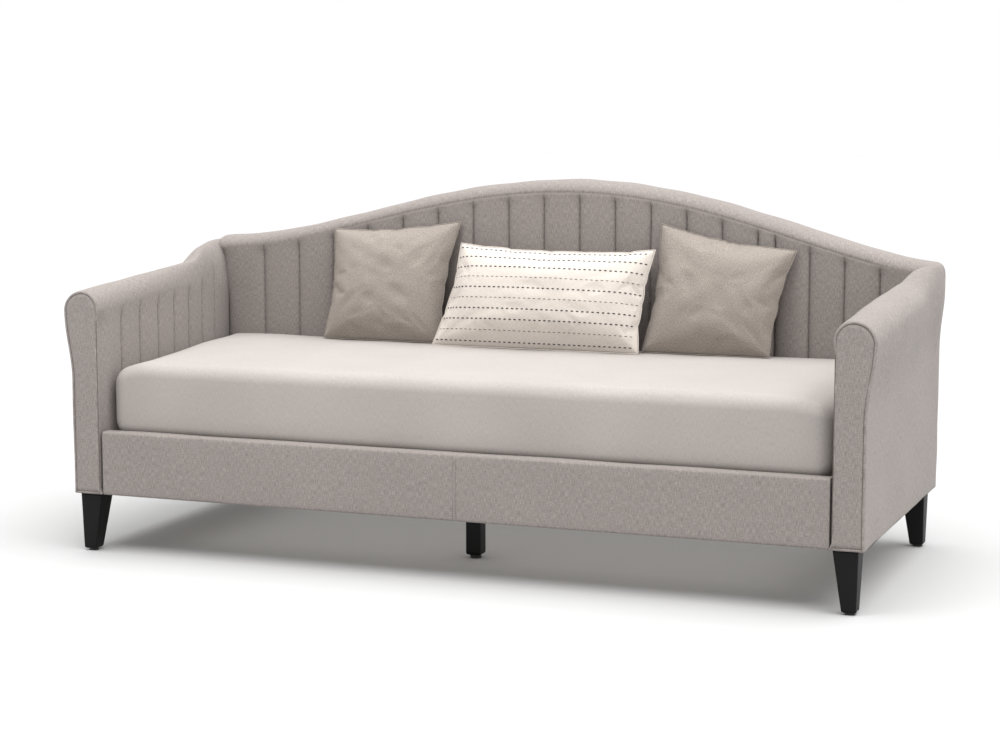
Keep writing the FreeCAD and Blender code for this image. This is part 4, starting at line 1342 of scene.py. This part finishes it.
@dataclass
class SoftBlock:
    """A long padded block along X with rounded edges and ends.

    Attributes:
        name: The piece's name.
        low: Lowest corner.
        high: Highest corner.
        edge: Radius of its long edges.
        end: Radius of its upright end corners.
        crown: How far the top and front swell.
        unevenness: Height of soft unevenness.
        stations: Sections between its ends.
        per_side: Points on each side of a section.
    """

    name: str
    low: Vector
    high: Vector
    edge: float
    end: float
    crown: float = 0.0
    unevenness: float = 0.0008
    stations: int = 240
    per_side: int = 40

    def grid(self) -> tuple[Array, Array]:
        """Points and cloth coordinates of the block.

        Towards each end the section shrinks by r - sqrt(r^2 - (r - d)^2), d from the end.

        Returns:
            The points, (rows, columns, 3), and coordinates with one column more.
        """
        angle = np.linspace(0, np.pi / 2, 10)
        tip = self.end * (1 - np.cos(angle))
        x = np.concatenate([self.low.x + tip, np.linspace(self.low.x + self.end, self.high.x - self.end,
                                                          self.stations)[1:-1], self.high.x - tip[::-1]])
        from_end = np.minimum(x - self.low.x, self.high.x - x)
        reach = np.clip(self.end - from_end, 0, self.end)
        shrink = self.end - np.sqrt(np.maximum(self.end ** 2 - reach ** 2, 0))
        softer = shrink * min(1.0, self.edge / self.end)
        low = np.stack([self.low.y + shrink, self.low.z + softer], -1)
        high = np.stack([self.high.y - shrink, self.high.z - softer], -1)
        radius = np.full(len(x), self.edge)
        loops = rounded_loop(low, high, radius, 9, self.per_side)
        y, z = loops[..., 0], loops[..., 1]
        x = np.broadcast_to(x[:, None], y.shape)
        middle_y = (self.low.y + self.high.y) / 2
        share_x = 2 * (x - self.low.x) / (self.high.x - self.low.x) - 1
        share_y = 2 * (y - self.low.y) / (self.high.y - self.low.y) - 1
        share_z = 2 * (z - self.low.z) / (self.high.z - self.low.z) - 1
        swell_z = self.crown * (1 - share_x ** 8) * (1 - share_y ** 6)
        swell_y = self.crown * (1 - share_x ** 8) * (1 - share_z ** 4)
        bump = self.unevenness * ripple(x, y + z, 0.22, len(self.name))
        y = y + np.sign(y - middle_y) * (swell_y + bump) * (np.abs(share_y) > 0.97)
        z = z + (swell_z + bump) * (share_z > 0.9)
        around = run_length(np.concatenate([loops[len(loops) // 2], loops[len(loops) // 2][:1]]))
        uv = np.stack([np.broadcast_to(x[:, :1], (len(x), len(around))),
                       np.broadcast_to(around[None], (len(x), len(around)))], -1)
        return np.stack([x, y, z], axis=-1), uv

    def build(self) -> bpy.types.Object:
        """The block's object."""
        points, uv = self.grid()
        return grid_object(self.name, points, uv)


@dataclass
class FrontRail:
    """The upholstered rail between the arms, with one upright seam topstitched on both sides.

    Attributes:
        seam_x: Where the seam runs.
        seam_reach: How far the seam draws the cloth in on each side.
        seam_depth: How deep it draws it on the front and rear.
        seam_dip: How deep it draws it on the top and underside.
        topstitch_out: From the seam to each row of stitches.
        tight: How far each end presses into the arm beside it.
    """

    seam_x: float = 0.030
    seam_reach: float = 2.2 * MM
    seam_depth: float = 1.2 * MM
    seam_dip: float = 0.8 * MM
    topstitch_out: float = 4.5 * MM
    tight: float = 2.6 * MM

    def build(self, wardrobe: Wardrobe) -> None:
        """Make and dress the rail and its stitching.

        Args:
            wardrobe: Where their finishes come from.
        """
        low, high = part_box("front_rail_cover")
        low.x -= self.tight
        high.x += self.tight
        block = SoftBlock("front_rail_upholstery", low, high, 7 * MM, 1.5 * MM, crown=0.0012,
                          unevenness=0.0007, stations=420, per_side=14)
        points, uv = block.grid()
        near = np.exp(-((points[..., 0] - self.seam_x) / self.seam_reach) ** 2)
        middle = (low + high) / 2
        points[..., 1] -= np.sign(points[..., 1] - middle.y) * self.seam_depth * near
        points[..., 2] -= np.sign(points[..., 2] - middle.z) * self.seam_dip * near
        rail = wardrobe.dress(grid_object(block.name, points, uv), Slot.UPHOLSTERY,
                              stands_for=("front_rail_cover", "front_rail_padding"))
        rows = []
        for side in (-1, 1):
            x = self.seam_x + side * self.topstitch_out
            z = np.linspace(low.z + 6 * MM, high.z - 9 * MM, 60)
            path = np.stack([np.full(len(z), x), np.full(len(z), low.y - 1.2 * MM), z], -1)
            rows.append(stitches("rail_topstitch_row", path, 4.2 * MM, 1.8 * MM, 0.55 * MM))
        # The stitches take the darker welt finish: painted shade for the seam line, on thread that is
        # really there.
        wardrobe.dress(joined("front_rail_topstitching", rows), Slot.WELT)


@dataclass
class Mattress:
    """The loose mattress: a soft-edged block in plain cloth, pressed against the arms.

    Attributes:
        gap: Room left between its ends and the arms' inner walls.
        edge: Radius of its long edges.
        end: Radius of its upright corners.
        end_dip: How far its ends' top edges fall at the front; they are full again at the back.
    """

    gap: float = 7 * MM
    edge: float = 34 * MM
    end: float = 40 * MM
    end_dip: float = 20 * MM

    def build(self, wardrobe: Wardrobe, arm: Arm) -> None:
        """Make and dress the mattress.

        Its ends follow the arms' walls: near each end, x goes out by wall - gap - its own half.

        Args:
            wardrobe: Where its finish comes from.
            arm: An arm whose inner wall it meets.
        """
        low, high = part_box("mattress_cover")
        block = SoftBlock("mattress_body", low, high, self.edge, self.end, crown=0.004,
                          unevenness=0.0013, stations=260, per_side=46)
        points, uv = block.grid()
        x, y, z = points[..., 0], points[..., 1], points[..., 2]
        half = high.x
        reach = np.abs(x)
        from_end = half - reach
        points[..., 0] = x + np.sign(x) * (arm.wall(y) - self.gap - half) * smoothstep(reach, 0.55, half)
        dip = self.end_dip * (1 - smoothstep(y, -0.40, 0.10)) * (1 - smoothstep(from_end, 0.0, 0.10))
        points[..., 2] = z - dip * smoothstep(z, low.z + 0.08, high.z)
        mattress = wardrobe.dress(grid_object(block.name, points, uv), Slot.MATTRESS_CLOTH,
                                  "mattress", ("mattress_cover", "mattress_core"))


@dataclass
class TaperedLegs:
    """Four square legs, upright on their outer faces and tapered on the inner two, and one more.

    Attributes:
        corner: Radius of a leg's upright edges.
        bevel: Bevel round its foot.
    """

    corner: float = 2.5 * MM
    bevel: float = 3.5 * MM

    def leg(self, node: str) -> bpy.types.Object:
        """A leg lofted through rounded squares from its top to its bevelled foot.

        The CAD leg's own corners give both ends; sizes between them run straight.

        Args:
            node: The CAD leg.

        Returns:
            The leg's object.
        """
        corners = np.array([vertex.co[:] for vertex in bpy.data.objects[node].data.vertices])
        top = corners[corners[:, 2] > corners[:, 2].max() - 1 * MM]
        foot_z = corners[:, 2].min()
        foot = corners[corners[:, 2] < foot_z + 4.5 * MM]
        height = corners[:, 2].max() - foot_z
        share = np.concatenate([[0.0, self.bevel / height], np.linspace(0.05, 1.0, 24)])[:, None]
        low = foot[:, :2].min(0) * (1 - share) + top[:, :2].min(0) * share
        high = foot[:, :2].max(0) * (1 - share) + top[:, :2].max(0) * share
        low[0] += self.bevel
        high[0] -= self.bevel
        loops = rounded_loop(low, high, np.full(len(low), self.corner), 5, 3)
        z = foot_z + height * share
        points = np.concatenate([loops, np.broadcast_to(z[:, :, None], (*loops.shape[:2], 1))], -1)
        around = np.linspace(0, 0.25, loops.shape[1] + 1)[None]
        uv = np.stack(np.broadcast_arrays(around, z), axis=-1)
        return grid_object(f"{node}_lacquered", points, uv)

    def build(self, wardrobe: Wardrobe) -> None:
        """Make and dress the legs and the centre leg.

        Args:
            wardrobe: Where their finish comes from.
        """
        for node in ("front_left_leg", "front_right_leg", "rear_left_leg", "rear_right_leg",
                     "centre_leg"):
            wardrobe.dress(self.leg(node), Slot.BLACK_LACQUER, stands_for=(node,))


@dataclass
class Slats:
    """The base's slats: birch laths with rounded edges.

    Attributes:
        edge: Radius of their long edges.
        bevel: Bevel round their ends.
        rows: Sections along each.
    """

    edge: float = 3.5 * MM
    bevel: float = 1.5 * MM
    rows: int = 12

    def build(self, wardrobe: Wardrobe) -> None:
        """Make and dress the slats in the CAD group's own places.

        Args:
            wardrobe: Where their finish comes from.
        """
        low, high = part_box("slats")
        corners = np.array([vertex.co[:] for vertex in bpy.data.objects["slats"].data.vertices])
        edges = np.unique(np.round(corners[:, 0], 5))
        y = np.linspace(low.y, high.y, self.rows)
        inset = np.zeros(self.rows)
        inset[[0, -1]] = self.bevel
        laths = []
        for left, right in zip(edges[::2], edges[1::2]):
            lows = np.stack([left + inset, low.z + inset], -1)
            highs = np.stack([right - inset, high.z - inset], -1)
            loops = rounded_loop(lows, highs, np.full(self.rows, self.edge), 4, 1)
            depth = np.broadcast_to(y[:, None, None], (*loops.shape[:2], 1))
            points = np.concatenate([loops[..., :1], depth, loops[..., 1:]], -1)
            around = np.linspace(0, 0.16, loops.shape[1] + 1)[None]
            uv = np.stack(np.broadcast_arrays(around, y[:, None]), -1)
            laths.append(grid_object("lath", points, uv))
        wardrobe.dress(joined("birch_slats", laths), Slot.BIRCH_SLAT, stands_for=("slats",))


# ---- pillows -------------------------------------------------------------------------------

@dataclass
class Pillow:
    """A knife-edge scatter pillow, blown up flat and then stood on the mattress.

    Attributes:
        word: Which pillow, as the CAD nodes have it.
        slot: Its cloth.
        corners: Where its seam's corners stand: foot left, foot right, top left, top right.
        thickness: Thickness at its middle.
        cells: Cloth cells across and up.
        size: Cut size before filling.
        pressure: Force of the filling in the simulation.
        frames: Length of the simulation.
        seed: Fixes the case's first unevenness.
        draw_in: Share kept of the edges' inward pull, as a firm insert leaves it.
        edge_sag: An inward pull of the edges; not used.
    """

    word: str
    slot: Slot
    corners: tuple[tuple[float, float, float], ...]
    thickness: float
    cells: tuple[int, int]
    size: tuple[float, float]
    pressure: float = 4.0
    frames: int = 16
    seed: int = 1
    draw_in: float = 0.40
    edge_sag: float = 0.06

    def flat_case(self) -> tuple[bpy.types.Object, Array]:
        """The empty case: two sheets sewn round their edge and puffed apart a little.

        Each stands puff (1 - u^4)(1 - v^4) off the seam's plane, made a little uneven.

        Returns:
            The object, and the front sheet's vertex numbers as an (up, across) grid.
        """
        across, up = self.cells
        u, v = np.meshgrid(np.linspace(-1, 1, across + 1), np.linspace(-1, 1, up + 1))
        loft = (1 - u ** 4) * (1 - v ** 4)
        jitter = 1 + 0.25 * ripple(u, v, 0.35, self.seed)
        x, z = u * self.size[0] / 2, v * self.size[1] / 2
        puff = 0.018 * loft * jitter
        front = np.stack([x, -puff, z], -1)
        rear = np.stack([x, puff, z], -1)
        numbers = np.arange(u.size).reshape(u.shape)
        inside = np.zeros(u.shape, bool)
        inside[1:-1, 1:-1] = True
        rear_numbers = numbers.copy()
        rear_numbers[inside] = u.size + np.arange(inside.sum())
        vertices = np.concatenate([front.reshape(-1, 3), rear[inside]])
        quads, corner_uv = [], []
        flat_uv = np.stack([x, z], -1)
        for grid, flip in ((numbers, False), (rear_numbers, True)):
            corners = [grid[:-1, :-1], grid[:-1, 1:], grid[1:, 1:], grid[1:, :-1]]
            cloth = [flat_uv[:-1, :-1], flat_uv[:-1, 1:], flat_uv[1:, 1:], flat_uv[1:, :-1]]
            if flip:
                corners, cloth = corners[::-1], cloth[::-1]
            quads.append(np.stack(corners, -1).reshape(-1, 4))
            corner_uv.append(np.stack(cloth, -2).reshape(-1, 2))
        item = mesh_object(f"{self.word}_pillow_case", vertices, np.concatenate(quads).tolist(),
                           np.concatenate(corner_uv), turn=False)
        return item, numbers

    def inflate(self, item: bpy.types.Object) -> Array:
        """Blow the case up with the cloth simulation.

        Args:
            item: The empty case.

        Returns:
            Its points after the last frame, with part of the edges' inward pull taken back.
        """
        modifier = item.modifiers.new("Cloth", "CLOTH")
        settings = modifier.settings
        settings.quality = 6
        settings.mass = 0.18
        settings.tension_stiffness = settings.compression_stiffness = 18.0
        settings.shear_stiffness = 6.0
        settings.bending_stiffness = 0.25
        settings.use_pressure = True
        settings.uniform_pressure_force = self.pressure
        settings.effector_weights.gravity = 0.0
        modifier.point_cache.frame_start = 1
        modifier.point_cache.frame_end = self.frames
        scene = bpy.context.scene
        for frame in range(1, self.frames + 1):
            scene.frame_set(frame)
        evaluated = item.evaluated_get(bpy.context.evaluated_depsgraph_get())
        points = np.empty(len(item.data.vertices) * 3, np.float32)
        evaluated.data.vertices.foreach_get("co", points)
        item.modifiers.remove(modifier)
        scene.frame_set(1)
        flat = np.array([vertex.co[:] for vertex in item.data.vertices])
        moved = points.reshape(-1, 3) - flat
        moved[:, 0] *= self.draw_in
        moved[:, 2] *= self.draw_in * smoothstep(flat[:, 2], -self.size[1] / 2, 0.0)
        return flat + moved

    def stand(self, points: Array, numbers: Array, rest_z: float) -> Array:
        """Stand the blown-up pillow on the mattress.

        Its seam's corners go to the wanted places by a bilinear map of (u, v), and its thickness
        goes along the seam plane's normal; what would sink below rest_z spreads out on it.

        Args:
            points: The blown-up case's points.
            numbers: The front sheet's vertex numbers, as an (up, across) grid.
            rest_z: Height of the mattress's top.

        Returns:
            The standing pillow's points.
        """
        seam = points[numbers[[0, 0, -1, -1], [0, -1, 0, -1]]]
        half_width = np.abs(seam[:, 0]).mean()
        half_height = np.abs(seam[:, 2]).mean()
        u, v = points[:, 0] / half_width, points[:, 2] / half_height
        deep = points[:, 1] * self.thickness / np.ptp(points[:, 1])
        foot_left, foot_right, top_left, top_right = (np.array(corner) for corner in self.corners)
        right, up = (u[:, None] + 1) / 2, (v[:, None] + 1) / 2
        plane = ((1 - up) * ((1 - right) * foot_left + right * foot_right)
                 + up * ((1 - right) * top_left + right * top_right))
        across = foot_right - foot_left + top_right - top_left
        upward = top_left - foot_left + top_right - foot_right
        normal = np.cross(upward, across)
        normal /= np.linalg.norm(normal)
        stood = plane + normal * deep[:, None]
        give, spread = 0.004, 0.25
        sunk = np.clip(rest_z + give - stood[:, 2], 0, None)
        stood[:, 2] += sunk - give * (1 - np.exp(-sunk / give))
        stood[:, 1] += np.sign(deep) * spread * sunk
        stood[:, 2] = np.maximum(stood[:, 2], rest_z)
        return stood

    def build(self, wardrobe: Wardrobe, rest_z: float) -> Array:
        """Make and dress the pillow and the seam round it.

        Args:
            wardrobe: Where its finish comes from.
            rest_z: Height of the mattress's top.

        Returns:
            The front sheet's points as an (up, across, 3) grid.
        """
        item, numbers = self.flat_case()
        blown = self.inflate(item)
        stood = self.stand(blown, numbers, rest_z)
        item.data.vertices.foreach_set("co", stood.astype(np.float32).ravel())
        item.data.update()
        smoother = item.modifiers.new("Subdivision", "SUBSURF")
        smoother.levels = smoother.render_levels = 1
        body = f"{self.word}_pillow"
        wardrobe.dress(item, self.slot, body, (f"{body}_cover", f"{body}_insert"))
        edge = np.concatenate([numbers[0], numbers[1:, -1], numbers[-1, -2::-1], numbers[-2:0:-1, 0]])
        seam = tube(f"{self.word}_pillow_seam", stood[edge], 1.6 * MM, closed=True, sides=6)
        wardrobe.dress(seam, self.slot, body)
        return stood[numbers]


@dataclass
class RunningStitch:
    """Rows of hand-sewn dashes across a pillow's front, bold and fine in turn.

    Attributes:
        pitch: From one dash to the next.
        dash: Length of a dash.
        bold: Half the thickness of a bold thread.
        fine: Half the thickness of a fine one.
        pattern: Which rows are bold, from the foot up.
    """

    pitch: float = 15 * MM
    dash: float = 8 * MM
    bold: float = 1.75 * MM
    fine: float = 0.9 * MM
    pattern: tuple[bool, ...] = (True, False, True, True, False, True, False, True, True, True)

    def build(self, wardrobe: Wardrobe, front: Array, body: str) -> None:
        """Sew the rows along the front sheet's grid lines.

        Args:
            wardrobe: Where the thread's finish comes from.
            front: The front sheet's points as an (up, across, 3) grid.
            body: The pillow's body.
        """
        up = front.shape[0] - 1
        threads = []
        for number, heavy in enumerate(self.pattern):
            place = (number + 0.5) / len(self.pattern) * up
            below, share = int(place), place % 1
            path = front[below] * (1 - share) + front[below + 1] * share
            radius = self.bold if heavy else self.fine
            threads.append(stitches("thread_row", path[1:-1], self.dash, self.pitch - self.dash, radius))
        wardrobe.dress(joined(f"{body}_running_stitch", threads), Slot.WEBBING, body)


# ---- studio --------------------------------------------------------------------------------

@dataclass(frozen=True)
class Softbox:
    """A soft light with a flat face.

    Attributes:
        name: The light's name.
        place: Where it hangs.
        depth: Its depth.
        watts: Its power.
        aim: The point it faces.
        stretch: Its width for each metre of depth.
    """

    name: str
    place: tuple[float, float, float]
    depth: float
    watts: float
    aim: tuple[float, float, float] = (0.0, 0.0, 0.4)
    stretch: float = 1.0

    def build(self) -> None:
        """Hang the light."""
        data = bpy.data.lights.new(self.name, "AREA")
        data.shape = "RECTANGLE"
        data.size = self.depth * self.stretch
        data.size_y = self.depth
        data.energy = self.watts
        lamp = placed(self.name, data)
        lamp.location = self.place
        facing = Vector(self.aim) - Vector(self.place)
        lamp.rotation_euler = facing.to_track_quat("-Z", "Y").to_euler()


@dataclass
class Studio:
    """A pale floor under a white surround, a wide sun overhead, three fills and the camera.

    Attributes:
        camera_place: Where the camera stands.
        camera_turn: Its turn about the vertical.
        camera_tilt: How far it looks down.
        lens_mm: Its focal length on a 36 mm sensor.
        floor_half: Half the floor's side.
        sun_watts: Power of the sun for each square metre.
        sun_spread: How wide the sun looks, in degrees.
        fills: The soft lights beside it.
    """

    camera_place: tuple[float, float, float] = (2.191, -5.743, 1.293)
    camera_turn: float = 0.3686
    camera_tilt: float = 0.1315
    lens_mm: float = 81.2
    floor_half: float = 30.0
    sun_watts: float = 4.6
    sun_spread: float = 75.0
    fills: tuple[Softbox, ...] = (
        Softbox("right fill", (4.2, -1.2, 2.0), 2.4, 30),
        Softbox("back fill", (-0.4, -1.8, 2.6), 1.0, 18, (0.0, 0.37, 0.85)),
        Softbox("under fill", (0.0, 0.05, 0.15), 0.75, 2.1, (0.0, 0.05, 0.0), stretch=2.3),
    )

    def floor(self) -> None:
        """A wide pale floor, which the lights bring up to the surround's white."""
        half = self.floor_half
        corners = [(-half, -half, 0), (half, -half, 0), (half, half, 0), (-half, half, 0)]
        mesh = bpy.data.meshes.new("studio_floor")
        mesh.from_pydata(corners, [], [(0, 1, 2, 3)])
        floor = placed("studio_floor", mesh)
        material, _, shader = new_material("pale studio floor")
        set_inputs(shader, Base_Color=linear("#AFAFAF"), Roughness=0.9, Specular_IOR_Level=0.0)
        mesh.materials.append(material)

    def sun(self) -> None:
        """A wide sun overhead, a little to the right, which lights the whole floor evenly."""
        data = bpy.data.lights.new("overhead", "SUN")
        data.energy = self.sun_watts
        data.angle = math.radians(self.sun_spread)
        placed("overhead", data).rotation_euler = (math.radians(2), math.radians(10), 0.0)

    def surround(self) -> None:
        """An even white surround that fills the shadows."""
        world = bpy.data.worlds.new("studio")
        world.use_nodes = True
        set_inputs(world.node_tree.nodes["Background"], Color=(1.0, 1.0, 1.0, 1.0), Strength=1.0)
        bpy.context.scene.world = world

    def camera(self) -> None:
        """The camera, level but for its downward tilt."""
        data = bpy.data.cameras.new("camera")
        data.sensor_width = 36.0
        data.lens = self.lens_mm
        camera = placed("camera", data)
        camera.location = self.camera_place
        camera.rotation_euler = (math.pi / 2 - self.camera_tilt, 0.0, self.camera_turn)
        bpy.context.scene.camera = camera

    def build(self) -> None:
        """Set the whole studio up."""
        bpy.context.scene.view_settings.view_transform = "Standard"
        self.floor()
        self.surround()
        self.sun()
        for fill in self.fills:
            fill.build()
        self.camera()


# ---- all together --------------------------------------------------------------------------

def dress_frame(frame: dict[str, object], wardrobe: Wardrobe) -> None:
    """Give each CAD node its slot's finish.

    Args:
        frame: The loaded frame.
        wardrobe: Where the finishes come from.
    """
    by_key = {slot.key: slot for slot in Slot}
    for part in frame["record"]["subparts"]:
        node = frame["nodes"][part["node"]]
        material = wardrobe.material(by_key[part["material_slot"]])
        node.data.materials.clear()
        node.data.materials.append(material)


def pillows(rest_z: float) -> list[Pillow]:
    """The three pillows.

    Args:
        rest_z: Height of the mattress's top, on which they stand.

    Returns:
        The pillows, each with its place.
    """
    foot = rest_z + 4 * MM
    return [
        Pillow("left", Slot.TAUPE_WEAVE,
               ((-0.690, 0.268, foot), (-0.318, 0.268, foot), (-0.690, 0.352, 0.846),
                (-0.286, 0.352, 0.876)), 0.118, (64, 60), (0.42, 0.40), seed=2),
        Pillow("right", Slot.TAUPE_WEAVE,
               ((0.297, 0.268, foot), (0.662, 0.268, foot), (0.325, 0.352, 0.884),
                (0.716, 0.352, 0.818)), 0.118, (64, 60), (0.42, 0.40), seed=4),
        Pillow("middle", Slot.STRIPE_WEAVE,
               ((-0.322, 0.222, foot), (0.300, 0.222, foot), (-0.262, 0.300, 0.818),
                (0.324, 0.300, 0.813)), 0.125, (96, 50), (0.64, 0.34), seed=7),
    ]


def main() -> None:
    """Build the daybed round its frame and set it in the studio."""
    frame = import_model()
    wardrobe = Wardrobe()
    dress_frame(frame, wardrobe)
    Studio().build()
    arms = [Arm.from_frame(side) for side in (-1, 1)]
    for arm in arms:
        arm.build(wardrobe)
    Back.from_frame().build(wardrobe)
    FrontRail().build(wardrobe)
    TaperedLegs().build(wardrobe)
    Slats().build(wardrobe)
    Mattress().build(wardrobe, arms[0])
    _, mattress_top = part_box("mattress_cover")
    for pillow in pillows(mattress_top.z + 3 * MM):
        front = pillow.build(wardrobe, mattress_top.z + 3 * MM)
        if pillow.slot is Slot.STRIPE_WEAVE:
            RunningStitch().build(wardrobe, front, f"{pillow.word}_pillow")


if __name__ == "__main__":
    main()
